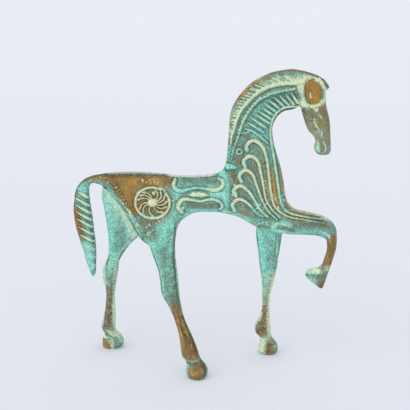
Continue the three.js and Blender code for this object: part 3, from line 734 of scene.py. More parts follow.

# Bare metal
NEAR_BRONZE = [
    ([(-53, 121), (-47, 114), (-45, 106)], 3.6, 1),
    ([(20, 153), (24, 142)], 3.4, 0.36),
    ([(21, 130), (20, 114)], 3.6, 0.4),
    ([(32, 150), (31, 137), (29, 124), (27, 112)], 5, 0.26),
    ([(38, 140), (38, 124), (41, 112), (46, 104)], 4, 0.43),
    ([(56, 184), (46, 180), (37, 172), (30, 164)], 3.4, 0.22),
    ([(66, 174), (70, 165), (74, 158), (75, 150)], 6.5, 0.5),
    ([(75, 178), (77, 168), (78, 156)], 2.6, 0.5),
    ([(36, 195.4), (46, 199), (58, 200), (67, 198), (74, 194.6)], 1.2, 0.7),
    ([(18.6, 174), (22, 181), (27, 187.4), (33, 192.4), (40, 196)], 1.9, (0.2, 0.75, 0.8, 0.4)),
    ([(20.6, 158), (26, 171.4), (33, 180.6), (42, 185.8), (55, 189)], 1.6, 0.34),
    ([(17, 165), (22, 177), (29, 186), (38, 192.6), (48, 195.4), (58, 196.4)], 1.8, 0.36),
    ([(75, 62.5), (77, 58)], 2.4, 0.6),
    ([(79.4, 88), (78.8, 80), (77.4, 73), (76.6, 69.6)], 1.3, (0.7, 0.7, 0.6, 0.45)),
    ([(-10, 110.5), (0, 110), (8, 110.5)], 2, 0.3),
    ([(-12, 127.5), (8, 128)], 2, 0.2),
    ([(54, 105), (66, 102.4), (80, 100)], 3.4, 0.4),
    ([(-64, 127), (-45, 127.5), (-22, 126.5)], 3, (1, 1, 0.7)),
    ([(-57.6, 123), (-53, 115.6), (-48.4, 107.4)], 3.2, 1),
    ([(-48, 122.5), (-34, 124.5), (-23, 123)], 3.6, (1, 0.9, 0.4)),
    ([(-37, 112), (-30, 111)], 9.5, 0.68),
    ([(-37, 98.6), (-32, 98), (-27.5, 101)], 1.5, 0.5),
    ([(-40, 98), (-37, 92), (-33, 89)], 3.2, 0.4),
    ([(-76, 126), (-70, 127.2), (-63, 127)], 1.8, 0.7),
    ([(-85, 114), (-83, 121), (-79, 125)], 1.4, 0.5),
    ([(-85, 108), (-83.4, 97), (-81.8, 90), (-80.8, 84)], 2.6, (0.5, 0.95, 0.95, 0.3)),
    ([(17.4, 131.6), (19.4, 129.6), (19, 126)], 1.8, (0.7, 0.6, 0.4)),
    ([(19.5, 143), (23, 139)], 2.4, 0.5),
    ([(25.5, 158), (27.5, 156)], 2, 0.5),
    ([(21, 124.5), (26, 124)], 1.5, 0.45),
    ([(26.8, 132.6), (29.6, 131.6)], 1.3, 0.7),
    ([(32.5, 139), (33.5, 132), (35.5, 123), (37.5, 117)], 1.5, 0.45),
    ([(23.5, 107.2), (27.5, 105.8)], 1.8, 0.55),
    ([(30, 105), (33.5, 103)], 1.3, 0.4),
    ([(16.5, 108), (19, 112), (20, 117)], 1.4, 0.45),
    ([(38, 138), (39.2, 128), (40.6, 118)], 1.1, (0, 0.7, 0.85)),
    ([(42, 146), (43, 134), (45.2, 120), (47.6, 109.5)], 1.6, (0, 0.6, 0.95, 0.9)),
    ([(45.6, 152), (47.6, 140), (50, 124), (54, 111.6)], 1.4, (0.1, 0.5, 0.6, 0.7)),
    ([(53, 111.6), (59, 109), (66, 107), (76, 104.6)], 1.2, (0.9, 0.9, 0.5)),
    ([(50, 106.8), (56, 104), (61, 103)], 1.1, 0.75),
    ([(53, 106.4), (62, 104.2), (76, 102.2)], 0.7, 0.6),
    ([(48, 98.3), (52, 97), (57, 96)], 1.3, 0.55),
    ([(36, 98), (42, 97)], 1, 0.4),
    ([(82.2, 91), (82.4, 85), (81.2, 77), (80, 72.5)], 2.4, 1),
    ([(79, 70), (78.5, 66)], 2, 0.45),
    ([(73.4, 176), (75, 172)], 2, 0.72),
    ([(72.6, 168.6), (74.4, 165.6)], 2, 0.72),
    ([(71.8, 192), (73.6, 188), (73.6, 183)], 1, 0.4),
    ([(-20, 50), (-16.8, 39), (-14, 34), (-10.6, 25), (-7.6, 16)], 4.6, (0, 0.85, 1, 1, 1)),
    ([(-12, 34), (-6, 22), (-3.6, 16)], 3.4, 1),
    ([(-5.4, 4.4), (-2.4, 3.4)], 3.2, 1),
    ([(-3.6, 9), (-1.2, 6)], 2.4, 0.7),
    ([(0, 9.6), (1.6, 6), (1, 3)], 1.5, 0.9),
    ([(-9, 26), (-2.6, 15)], 3, 1),
]
FAR_BRONZE = [
    ([(-66.4, 54), (-66.6, 46), (-67, 36), (-67.6, 24), (-69, 15)], 1.4, (0, 0.7, 0.9, 1, 0.9)),
    ([(-66, 46), (-66.4, 30), (-68, 14)], 3, 0.3),
    ([(39.4, 42), (39, 28), (37, 16)], 3.2, 0.42),
    ([(-68, 6), (-66, 3)], 4.5, 0.3),
    ([(41, 7), (41, 2)], 5, 0.3),
    ([(-71.6, 4.4), (-68.6, 1.6)], 2.6, 1),
    ([(-70.6, 17), (-69.6, 13.4)], 1, 0.8),
    ([(38.4, 37), (38, 28), (36.6, 20), (36, 16)], 1.8, 0.95),
    ([(38.6, 25), (39.4, 17)], 1.7, 0.9),
    ([(33.6, 19.5), (34.2, 15.5)], 1.5, 0.8),
    ([(42.4, 7), (42, 3)], 2.6, 0.95),
]

# Pale powder
NEAR_PALE = [
    ([(61, 194), (60.6, 188), (61, 181), (62.5, 178)], 1.9, 1),
    ([(62.5, 178), (68, 177.4), (72.5, 178.8), (74.6, 181)], 1, 1),
    ([(62, 195.4), (68, 194.6), (72, 192.6), (74.6, 189)], 1.3, 0.95),
    ([(75.8, 188), (76.2, 183), (75.4, 180)], 0.9, 0.95),
    ([(70, 159), (73, 161), (74.4, 157)], 1.8, 0.3),
    ([(72, 154), (71.4, 149)], 1.6, 0.45),
    ([(78.4, 88), (78, 84), (76.6, 77), (75, 72)], 0.7, 0.6),
    ([(78, 94.4), (80.4, 92.6)], 0.9, 0.7),
    ([(-17, 41), (-15.4, 34), (-13, 26)], 0.6, (0.45, 0.3, 0.1)),
    ([(-14, 42), (-11.6, 35), (-8, 28)], 0.5, (0.3, 0.35, 0.1)),
    ([(-12.4, 13), (-8, 10.8), (-2, 11)], 1.1, 0.45),
    ([(-8.6, 9.4), (-9.4, 5), (-8, 1.4)], 1.3, 0.45),
    # painted highlight on the near hind hoof
    ([(-5.2, 6), (-5, 4.4)], 1.1, 0.3),
    ([(-23, 50), (-21, 43), (-18, 35)], 0.9, 0.4),
    ([(56, 192.5), (62, 194)], 2.2, 0.9),
    ([(20.6, 158), (26, 171.4), (33, 180.4), (42, 185.8), (53, 188.8)], 0.8, 0.34),
    (CREST, 1.8, (0.3, 0.4, 0.15, 0.15, 0.35, 0.4)),
    ([(69.2, 176.5), (70.5, 174.6)], 0.8, 0.9),
    ([(-47.5, 102.5), (-45.8, 98.5)], 1.2, 0.5),
    ([(-51, 108), (-47.5, 102.5), (-44.5, 96)], 0.9, 0.35),
    ([(-41, 88), (-37.5, 84), (-34, 77), (-30.6, 70)], 0.6, 0.45),
    ([(-80.4, 116.4), (-78.6, 115.2)], 1, 0.7),
    ([(-75.4, 124.6), (-74, 125)], 0.8, 0.6),
    ([(3, 122.5), (7, 121.5)], 1.5, 0.5),
    ([(66.5, 68.3), (70, 68.9), (74, 68.6)], 1.5, 0.95),
    ([(67.6, 65.4), (71, 62)], 2, 0.3),
    ([(80.5, 71.5), (79.5, 69.5)], 1.4, 0.6),
    ([(41, 128), (44, 116), (50, 107)], 3, 0.22),
    ([(42.6, 96.4), (46.4, 99.4), (52, 99.4), (54.6, 98)], 0.9, 0.6),
    ([(43, 94.4), (51, 93.8)], 0.9, 0.55),
]
FAR_PALE = [
    ([(-64, 120), (-56.5, 107), (-51, 97), (-46.8, 86)], 3.4, 0.95),
    ([(-65, 119), (-63, 108), (-58, 96)], 4.2, 0.5),
    ([(-47.6, 85.6), (-51.4, 80.6), (-56.2, 74.8), (-59.4, 67.2), (-61.4, 54)], 1.1,
     (0.5, 0.8, 0.7, 0.6, 0.5)),
    ([(-60.8, 58), (-62.4, 45), (-63.4, 32), (-63.8, 15)], 1.3, (0.1, 0.7, 0.75, 0.7)),
    ([(-65.6, 72), (-68.6, 63), (-69.2, 48), (-70.6, 32), (-72.4, 17)], 1.2, (0.4, 0.7, 0.6, 0.6, 0.6)),
    ([(-65, 12), (-66, 9), (-65.5, 2)], 2.2, 0.7),
    ([(-63, 12), (-60.6, 8), (-59.8, 5)], 1.4, (0.7, 0.7, 0.3)),
    ([(-72, 8.4), (-69.6, 8.2)], 0.9, 0.9),
    ([(-68, 13), (-66.6, 11.4)], 1.3, 0.9),
    ([(-65, 76), (-66, 56), (-66, 40), (-68, 15)], 4.5, 0.25),
    ([(39, 60), (39, 40), (38, 15)], 4.5, 0.25),
    ([(41.5, 12), (44.4, 6)], 2, 0.3),
    ([(49, 91), (48, 82), (47, 72)], 0.9, 0.5),
    ([(46.4, 68), (44.8, 55), (42.8, 46), (41.6, 36), (41.6, 15)], 1.6, (0.3, 0.9, 1, 0.9, 0.8)),
    ([(36.6, 31), (33.6, 24), (32, 18)], 1.1, 0.7),
    ([(38, 11.5), (36.6, 6), (36.4, 3)], 2.6, 0.8),
    ([(42.6, 78), (42, 64), (40, 48), (39, 40)], 3.6, (0, 0.4, 0.6, 0.4)),
]

# Where the colour is brighter than elsewhere
NEAR_BRIGHT = [
    ([(11.6, 132), (13, 125), (13.4, 118), (12.6, 112)], 1.7, (1, 0.9, 0.8, 0.8)),
    ([(4, 118), (9, 118), (13.5, 118)], 2, 1),
    ([(14.2, 137.1), (19.6, 136.5)], 1.2, 1),
    ([(-21.6, 121), (-18, 117.5), (-20.3, 113), (-20.3, 104)], 1.7, 0.9),
    ([(-26.5, 100), (-27, 91), (-29, 84)], 2.8, 0.6),
    ([(-22, 104), (-21.5, 94), (-21.3, 82)], 1.6, 0.6),
    ([(-34, 84), (-32, 76), (-30, 69)], 1.6, 0.6),
    ([(-28, 68), (-27, 60), (-25.5, 53)], 1.4, 0.6),
    ([(-15.6, 37), (-14, 29), (-12.6, 20)], 0.8, 0.8),
    ([(-12.4, 36), (-9.4, 29), (-6, 20)], 0.7, 0.6),
    # painted highlight on the near hind hoof
    ([(-6.4, 6), (-5, 4)], 1, 1),
    ([(-63, 120.6), (-57.6, 113.6), (-53, 107.6), (-47.6, 100)], 1.5, (0.8, 0.9, 0.8, 0.4)),
    ([(-31, 127.4), (-30, 123)], 2.2, 0.6),
    ([(-50, 126), (-44, 125)], 2.4, 0.4),
    ([(-43.5, 93), (-42, 90)], 1.3, 1),
    ([(-36, 88), (-34, 84)], 2.4, 0.8),
    ([(-79.6, 121.5), (-78.8, 117)], 1.9, 0.9),
    ([(-78.3, 81), (-76.8, 73), (-75, 65)], 2.3, 0.9),
    ([(44, 95.4), (50, 94.4), (58, 94.3), (66, 95.3), (77, 94.8)], 1.2, 0.8),
    ([(45.5, 98.5), (51, 100.2), (56, 98.8)], 1.1, 1),
    ([(28.6, 164), (33, 170.6), (38, 176)], 2.6, 0.8),
    ([(38, 178), (43, 175)], 2.2, 0.7),
    ([(-14, 101.5), (-6, 106.6), (6, 107.2), (16, 106), (28, 102)], 0.9, 0.8),
    ([(20.6, 158), (20, 150), (19, 145)], 1, 0.5),
    ([(31, 157.3), (33, 156.4)], 1.2, 0.8),
    ([(45.6, 156), (47, 146), (49.4, 132), (51.4, 122)], 1.6, 0.9),
    ([(42.6, 142), (44.4, 128), (47, 113)], 1.2, 0.5),
    ([(31.5, 146), (34.5, 142), (37, 134)], 1.2, 0.35),
    ([(66.6, 65.6), (68.6, 63), (72, 60.4)], 1.8, 0.4),
    ([(79.2, 151), (78.8, 147.2)], 1.2, 0.9),
    ([(71, 150), (74, 146.6), (77.4, 146.6)], 1, 0.7),
    ([(75.8, 191.6), (77.6, 189.2)], 0.8, 1),
]
FAR_BRIGHT = [
    ([(-64, 112), (-63.3, 98), (-63, 85), (-62.6, 74), (-64, 60)], 2.3, 0.8),
    ([(-61.6, 72), (-64, 62)], 2.6, 0.9),
    ([(-50.5, 89.5), (-49, 87)], 1.8, 0.9),
    ([(35.8, 93), (36.8, 80), (38.4, 64)], 2.6, 0.8),
    ([(40, 92), (45, 90), (43, 80)], 3, 0.35),
]

# Where it is darker
NEAR_DULL = [
    ([(18.5, 134), (18.5, 124), (17.5, 114)], 1.8, 0.6),
    ([(55.5, 184), (46, 180), (38, 173), (31, 165), (25, 158)], 4, 0.3),
    ([(39, 150), (40.5, 136), (43.5, 140)], 2, 0.4),
    ([(57, 98), (65, 98), (76, 98)], 3.4, 0.62),
    ([(-30, 84), (-24, 70), (-22, 56)], 5, 0.28),
    ([(-20, 47), (-14, 33), (-8, 15), (-3, 3)], 5.6, 0.6),
    # painted shade on the right side of the near hind hoof
    ([(-3, 9), (1, 5), (-2, 1.5)], 1.8, 0.8),
    ([(-66, 128.4), (-45, 129.4), (-24, 129)], 1.2, 0.9),
    ([(-63, 125.4), (-56, 123)], 2.4, 0.4),
    ([(-40, 127), (-39, 121)], 1.6, 0.4),
    ([(-27, 124), (-24, 121)], 3, 0.3),
    ([(19, 176), (25, 187), (36, 195.6), (44, 198.2), (56, 199.4), (68, 197.4), (76, 192)], 1.4,
     (0.4, 0.45, 0.7)),
    ([(75, 66.5), (77, 61), (77, 58)], 3, 0.6),
    ([(82, 88), (81, 76)], 2.2, 0.4),
    ([(-13, 126.6), (-2, 127.4), (7, 127)], 2.3, 0.6),
    ([(-10, 110.8), (0, 109.8), (8.5, 110.8)], 1.8, 0.8),
    ([(30, 150.5), (34, 146)], 2.4, 0.6),
    ([(28.5, 140), (31, 134.5)], 2.2, 0.6),
    ([(25.5, 130), (29.5, 124), (32.5, 118)], 2, 0.45),
    ([(23, 120.5), (29, 114.5), (34, 108.5)], 2, 0.55),
    ([(22.5, 111.8), (28.5, 109)], 2, 0.6),
    ([(22, 141), (23.5, 152)], 2.6, 0.5),
    ([(-39, 98), (-35, 95), (-38, 89)], 3, 0.7),
    ([(-26.5, 82), (-25, 70), (-23.3, 57)], 2, 0.45),
    ([(-19.8, 92), (-19.6, 84), (-18.8, 66), (-18, 54)], 1.7, (0.5, 0.6, 0.7, 0.9)),
    ([(-12, 35), (-6.4, 25), (-2.6, 15)], 0.9, 0.8),
    ([(-22, 51), (-18, 46), (-14.6, 38)], 3.4, (0.6, 0.8, 0.5)),
    ([(60, 99), (65, 97)], 2.6, 0.6),
    ([(82, 97), (83.6, 92)], 2, 0.5),
    ([(65, 175), (67, 171)], 2.4, 0.3),
    ([(77, 174), (78, 166)], 1.6, 0.3),
    ([(35, 104), (42, 100.5)], 2.4, 0.5),
    ([(31, 177), (36, 180)], 1.5, 0.6),
    # painted shade on the right side of the near hind hoof
    ([(0.5, 9), (2.8, 5)], 1.2, 0.8),
    ([(-33.7, 111), (-33, 111)], 9, 0.35),
    ([(74, 65.8), (78, 66)], 0.9, 0.6),
]
FAR_DULL = [
    ([(-56, 90), (-55, 84), (-60, 78)], 2.4, 0.25),
    ([(-65.6, 54), (-66, 40), (-68, 15)], 4.5, (0.2, 0.7, 0.7)),
    ([(-66, 8), (-65, 2)], 6, 0.4),
    ([(39, 50), (39, 34), (38, 16)], 4.5, 0.7),
    ([(41, 8), (41, 2)], 6, 0.5),
    ([(43.6, 86), (43.8, 77), (42.6, 71)], 1.8, 0.45),
    ([(49, 92), (48.6, 82)], 0.9, 0.3),
]

# Darkening in corners, in creases and along some edges: partly painted shade, partly dark grime
NEAR_SHADE_AND_GRIME = [
    ([(-78.7, 121.6), (-78, 121.2)], 0.6, 1),
    ([(-18.9, 97), (-19.3, 84), (-18.2, 66), (-16.7, 52)], 0.8, 0.6),
    ([(-33.8, 78), (-31.4, 72), (-30, 66)], 0.8, 0.9),
    ([(-75.2, 117), (-74.2, 110), (-73, 100), (-72.2, 88), (-71.8, 76), (-72.4, 64)], 0.5, 0.7),
    ([(-85, 114), (-82.5, 121.5), (-77, 126), (-68, 128.6)], 0.8, 0.7),
    ([(-68, 128.6), (-50, 130), (-30, 129.8), (-10, 129), (8, 130.4)], 0.6, 0.9),
    ([(-66, 120.5), (-58, 112), (-51, 102.5), (-46.5, 95), (-43.6, 89)], 0.7, 0.95),
    ([(-40.6, 88), (-37, 83), (-33.4, 77), (-29.8, 69), (-28, 60), (-27, 53)], 0.6, 0.9),
    ([(18.8, 152), (20.6, 160), (24.2, 170), (29.8, 178.2), (36.8, 184.5), (46, 188.5), (58, 190)], 0.5, 0.8),
    ([(25.6, 165), (31.4, 174.6), (36.6, 179.6), (44, 183), (52, 185)], 0.7, 0.8),
    ([(62.6, 175.4), (64, 172)], 1, 0.7),
    ([(14.3, 157), (15.2, 168), (18.5, 178)], 0.7, 0.6),
    ([(68.6, 194.4), (66, 193.4), (63.6, 190), (63.2, 185.5), (64.4, 181.2), (66.6, 178.8)], 0.5, 1),
    ([(71.6, 192.4), (73.2, 188), (73.4, 183)], 0.9, 0.45),
    ([(57, 174.9), (48.5, 172.6), (44.2, 166.5), (43.4, 158), (45.6, 148)], 0.8, 0.8),
    ([(58, 183), (50, 180.6), (43, 177.6)], 3.4, 0.9),
    ([(40, 175), (33, 168), (27, 160)], 4, 0.55),
    ([(28, 184), (36, 190.4), (50, 194.6)], 1.8, 0.35),
    ([(62.4, 174), (64.6, 167)], 0.8, 0.5),
    ([(76, 190.5), (78, 188.6)], 0.8, 0.9),
    ([(14, 133.8), (17.4, 134), (21, 135)], 0.7, 1),
    ([(15.6, 140), (19, 139.4), (22, 137.6)], 0.6, 0.6),
    ([(35, 97.6), (43, 96.6)], 0.7, 0.6),
    ([(47, 96.5), (52, 95.6), (58, 95)], 0.8, 0.7),
    ([(60, 100.2), (70, 99.8), (80, 98.8)], 0.6, 0.6),
    ([(77, 71), (79.8, 88)], 0.6, 0.5),
    ([(66.6, 66), (72, 65.6), (78, 66.6)], 0.6, 0.7),
    ([(66, 63.6), (70, 59.6), (75, 56.8)], 0.9, 0.7),
    ([(78, 68), (77, 62), (76, 58)], 0.9, 0.5),
    ([(-18, 46), (-17, 50), (-20, 53)], 1.8, 0.5),
    ([(-14.2, 34), (-12.6, 29.6), (-9.7, 25.2), (-7.6, 22)], 0.55, 1),
    (NEAR_HIND_CREASE, 0.6, 0.8),
    ([(-13, 39), (-8.6, 29), (-4.2, 18.6)], 0.6, 0.9),
    ([(1.5, 10), (2.6, 6), (2, 1)], 0.9, 0.8),
    ([(-33, 100.5), (-26, 103.5)], 0.6, 0.5),
    ([(-39, 94), (-37.5, 89), (-34.5, 87)], 1, 0.5),
]
FAR_SHADE_AND_GRIME = [
    (FAR_HIND_CREASE, 0.5, 0.7),
    ([(-68.6, 46), (-69, 32), (-71, 18)], 0.5, 0.7),
    ([(-64.6, 56), (-64.8, 40), (-66, 20)], 0.5, (0.3, 0.8, 0.6)),
    ([(-67, 12), (-67.5, 4)], 0.5, 0.5),
    ([(-45.6, 85), (-49.9, 79.6), (-54.8, 74.4), (-57.6, 69)], 0.6, 0.8),
    ([(-65.2, 70), (-67, 61), (-67, 52)], 0.5, 0.6),
    ([(34.6, 25), (33, 19), (35, 13.8), (39, 13)], 0.6, 0.8),
    ([(40.3, 46), (40.6, 30), (40.8, 16)], 0.5, 0.4),
    ([(40, 10.5), (41.4, 8), (40.6, 2)], 0.5, 0.7),
    ([(49.6, 92), (48.6, 82), (47.8, 74)], 0.5, 0.4),
    ([(33.6, 92), (34.6, 78), (36.6, 62)], 0.5, 0.5),
]

# Edges with pale dust and a painted highlight where the surface turns sideways
DUSTY_AND_LIT_EDGES = [
    ([(-62, 130.6), (-40, 131.6), (-28, 131.4)], 1.6, 0.5),
    ([(-22, 131), (-8, 130.6), (4, 131.2)], 2.6, 0.9),
    ([(-17, 96), (-17, 66), (-13.6, 50)], 1.6, 0.5),
    ([(26, 187), (38, 196)], 3, 0.25),
    ([(51, 122), (53, 116.4), (57, 110.8), (69, 107.6), (80, 103.4)], 2, 0.6),
]

# Where raised lines are cream rather than aqua
WARM = [
    (MANE_RIDGE, 1.7, 1),
    (CREST, 1.8, 0.6),
    ([(60, 180), (62, 194), (74, 191)], 4, 1),
    ([(28.6, 152.6), (31, 153.8), (34, 153), (38, 148)], 2.6, 1),
    ([(39.7, 143), (41.2, 132), (42.9, 120), (45.5, 112), (53, 105.8)], 1.6, 0.6),
    ([(28.6, 143.8), (31, 143.6), (34, 140)], 2.6, 1),
    ([(34, 140), (37.8, 125), (39.4, 116.5), (43.2, 109.6)], 1.6, 0.55),
    ([(25.8, 134.4), (28, 134.2), (31, 131.4)], 2.6, 1),
    ([(31, 131), (33.4, 125.5), (36.6, 116.5), (41.2, 108)], 1.8, 0.6),
    ([(22.4, 124.2), (25, 123.8), (28.6, 120.6)], 2.6, 1),
    ([(28.6, 120.6), (32.2, 115), (36.6, 108)], 1.8, 0.5),
    ([(21, 115), (24, 115.2), (28, 112.5)], 2.6, 0.9),
    ([(-33.7, 111.4), (-33, 111)], 13, 0.85),
    ([(-17, 109), (-13, 114), (-9, 114)], 2.2, 0.9),
    ([(-8, 117.8), (1, 117.5)], 2.5, 1),
    ([(2, 121.4), (8, 121.4), (11.5, 124.5), (11, 128.5)], 2.6, (0.1, 0.8, 0.9, 0.8)),
    ([(6, 114.6), (11, 110)], 2.2, 0.6),
    ([(-84, 103.6), (-83.5, 98.9), (-82.7, 93), (-80, 88)], 3.4, 0.9),
    ([(50, 175.6), (59, 176.8)], 2, 0.8),
    ([(50, 175), (44, 170), (42, 160), (44.2, 144), (47.7, 122)], 1.4, 0.5),
    ([(56, 107), (64, 105)], 2, 0.6),
    ([(56, 104), (68, 102)], 1.4, 0.5),
    ([(-58, 121.4), (-56.5, 120.6)], 1.2, 1),
    ([(-52, 110), (-44, 97)], 1.2, 0.35),
    ([(71, 68.8), (75, 68.5)], 2.2, 0.8),
    ([(66.6, 66), (69, 63), (72, 61)], 2, 0.4),
    ([(66.5, 186), (67, 183)], 2, 1),
    ([(75, 192), (76, 186), (75, 178)], 2.4, 1),
    ([(70, 176), (73, 164), (74, 157)], 5, (0.5, 0.4, 0.1)),
    ([(27, 148.5), (26, 138), (23.2, 129), (19.8, 119), (18.8, 110)], 2.6, 0.35),
    ([(-76.4, 112), (-75, 96), (-73.6, 72)], 2.4, 0.35),
    ([(20.6, 158), (26, 171.4), (33, 180.8), (42, 186.2), (53, 189)], 0.8, 0.6),
    ([(56, 182), (44, 176), (34, 166)], 4.5, 0.3),
    ([(-80, 114), (-80, 96), (-77, 80)], 4, 0.7),
    ([(-8, 113.8), (-2, 113.4), (4, 114.6)], 2, 0.6),
    ([(-19.4, 127), (-19.8, 122.5)], 2.2, 0.5),
]
FAR_WARM = [
    ([(-62, 118), (-54, 104), (-46, 87)], 5, 0.25),
    ([(-66, 60), (-66, 30), (-67, 0)], 9, 0.5),
    ([(44, 70), (40, 50), (40, 0)], 9, (0, 0.3, 0.7, 0.7)),
    ([(45.6, 64), (43.4, 52), (42, 42)], 1.3, 0.8),
]


def strokes_field(strokes):
    """How strongly the strokes cover each point of the face grid, from 0 to 1."""
    field = np.zeros(FACE_X.shape)
    for points, radius, strength in strokes:
        path, along = curve(points, STROKE_STEP)
        shares = np.interp(along, np.linspace(0, 1, np.size(strength)), np.atleast_1d(strength))
        at, x, z = window(path, STROKE_END * radius)
        cover = np.zeros(x.shape)
        for (px, pz), share in zip(path, shares):
            near = (STROKE_END - np.hypot(x - px, z - pz) / radius) / (STROKE_END - STROKE_FULL)
            near = np.clip(near, 0.0, 1.0)
            cover = np.maximum(cover, share * near * near * (3 - 2 * near))
        field[at] = np.maximum(field[at], cover)
    return field


def sampled(field, x, z):
    """The field at points of the face, between its grid points."""
    column = np.clip((x - GRID_X[0]) / CELL, 0, len(GRID_X) - 1.001)
    row = np.clip((z - GRID_Z[0]) / CELL, 0, len(GRID_Z) - 1.001)
    c, r = column.astype(int), row.astype(int)
    u, v = column - c, row - r
    low = field[r, c] * (1 - u) + field[r, c + 1] * u
    high = field[r + 1, c] * (1 - u) + field[r + 1, c + 1] * u
    return low * (1 - v) + high * v


def own_field(sheet, x, y, z):
    """A sheet's own field at points of the casting, below 0 inside the sheet."""
    half, rounding = sampled(sheet["half"], x, z), sampled(sheet["round"], x, z)
    rim = np.maximum(rounding - sampled(sheet["distance"], x, z), 0.0)
    return np.hypot(rim, (y - splay_at(sheet["splay"], z)) * rounding / half) - rounding


def paint(thing, sheets, near, far):
    """Stores what the finish needs at each vertex: relief (ridge, groove, rim) and painted shade, patina,
    dust and painted highlight.
    """
    mesh = thing.data
    count = len(mesh.vertices)
    places, normals = np.empty((2, 3 * count), np.float32)
    mesh.vertices.foreach_get("co", places)
    mesh.vertex_normals.foreach_get("vector", normals)
    places = places.reshape(-1, 3) / MM - DRAWING_SHIFT
    x, y, z = places.T
    facing = normals[1::3]
    on_near = np.clip(-facing * FACE_GAIN, 0, 1)
    on_far = np.clip(facing * FACE_GAIN, 0, 1)
    plate, near_hind, far_hind, far_fore = (own_field(sheet, x, y, z) for sheet in sheets)
    behind = np.clip(0.5 + np.minimum(plate, near_hind) - np.minimum(far_hind, far_fore), 0, 1)

    def of_relief(near_field, far_field):
        return on_near * sampled(near_field, x, z) + on_far * sampled(far_field, x, z)

    def of_strokes(near_strokes, far_strokes):
        front, back = (sampled(strokes_field(strokes), x, z) for strokes in (near_strokes, far_strokes))
        return front * (1 - behind) + back * behind

    edge = np.maximum.reduce([sheet["distance"] for sheet in sheets])
    # A dark band just inside the outline: painted shade on the rounded edge, partly dark patina
    rim = np.exp(-(((edge - RIM_DEPTH) / RIM_WIDTH) ** 2))
    oval = Relief.oval(**EYE)
    eye, eye_and_rim = (np.clip((reach - oval) * EYE_SHARPNESS, 0, 1) for reach in (1.0, EYE_RIM))
    pupil = Relief()
    pupil.line(PUPIL, PUPIL_WIDTHS)
    bald = eye * (1 - pupil.ridge)
    ridge = of_relief(near.ridge * (1 - bald), far.ridge * (1 - bald))
    groove = of_relief(near.groove() * (1 - bald), far.groove() * (1 - bald))
    bald = sampled(bald, x, z)
    bronze = np.maximum(of_strokes(NEAR_BRONZE, FAR_BRONZE), sampled(eye_and_rim, x, z))
    # Painted shade in corners, creases and along some edges, partly dark grime
    shade_and_grime = of_strokes(NEAR_SHADE_AND_GRIME, FAR_SHADE_AND_GRIME)
    pale = of_strokes(NEAR_PALE, FAR_PALE) * (1 - bald) * (1 - HIDING * shade_and_grime)
    tone = 0.5 + 0.5 * of_strokes(NEAR_BRIGHT, FAR_BRIGHT) - 0.5 * of_strokes(NEAR_DULL, FAR_DULL) * (1 - bald)
    # The groove channel also carries the painted shade and grime
    groove = np.maximum(groove, shade_and_grime * (1 - HIDING * ridge))
    warm = of_strokes(WARM, FAR_WARM)
    start, full = DUST_AND_HIGHLIGHT_TURN
    # Pale dust and a painted highlight on edges that turn sideways
    dust_and_highlight = np.clip((1 - np.abs(facing) - start) / (full - start), 0, 1) * of_strokes(DUSTY_AND_LIT_EDGES, [])
    store(mesh, "relief", ridge, groove, sampled(rim, x, z) * (on_near + on_far))
    store(mesh, "patina", bronze, pale, tone)
    store(mesh, "dust_and_highlight", warm, dust_and_highlight, bald)


def store(mesh, name, red, green, blue):
    """Keeps three values for each vertex as one colour attribute."""
    layer = mesh.color_attributes.new(name, "FLOAT_COLOR", "POINT")
    colours = np.column_stack([red, green, blue, np.ones(len(red))])
    layer.data.foreach_set("color", colours.astype(np.float32).ravel())


# Finish


def linear(red, green, blue):
    """A colour of the screen, 0 to 255, as the shader's colour."""
    shares = [c / 255 for c in (red, green, blue)]
    return [c / 12.92 if c <= 0.04045 else ((c + 0.055) / 1.055) ** 2.4 for c in shares] + [1.0]


METAL = [
    (0.0, linear(84, 66, 42)), (0.35, linear(132, 104, 56)), (0.65, linear(170, 131, 58)),
    (1.0, linear(204, 162, 80)),
]
VERDIGRIS = [
    (0.0, linear(74, 98, 82)), (0.25, linear(103, 139, 123)), (0.5, linear(119, 177, 160)),
    (0.75, linear(130, 208, 190)), (1.0, linear(160, 228, 210)),
]
STAIN = linear(126, 112, 80)
# Dark colour of the grooves, also used as painted shade along rims, in corners and in creases
RECESS_AND_SHADE = linear(62, 80, 62)
RECESS_AND_SHADE_BRONZE = linear(84, 70, 44)
CREAM = linear(217, 228, 188)
AQUA = linear(160, 221, 202)
# Colour of the pale dust and of the painted highlight on edges
DUST_AND_HIGHLIGHT = linear(208, 214, 200)
STAIN_COVER = 0.75
RECESS_AND_SHADE_COVER = 0.88
POWDER_AND_HIGHLIGHT_COVER = 0.95
METALLIC = 0.35
PATINA_ROUGHNESS = 0.72
METAL_ROUGHNESS = 0.45
BUMP_STRENGTH = 0.3
BUMP_MM = 0.3


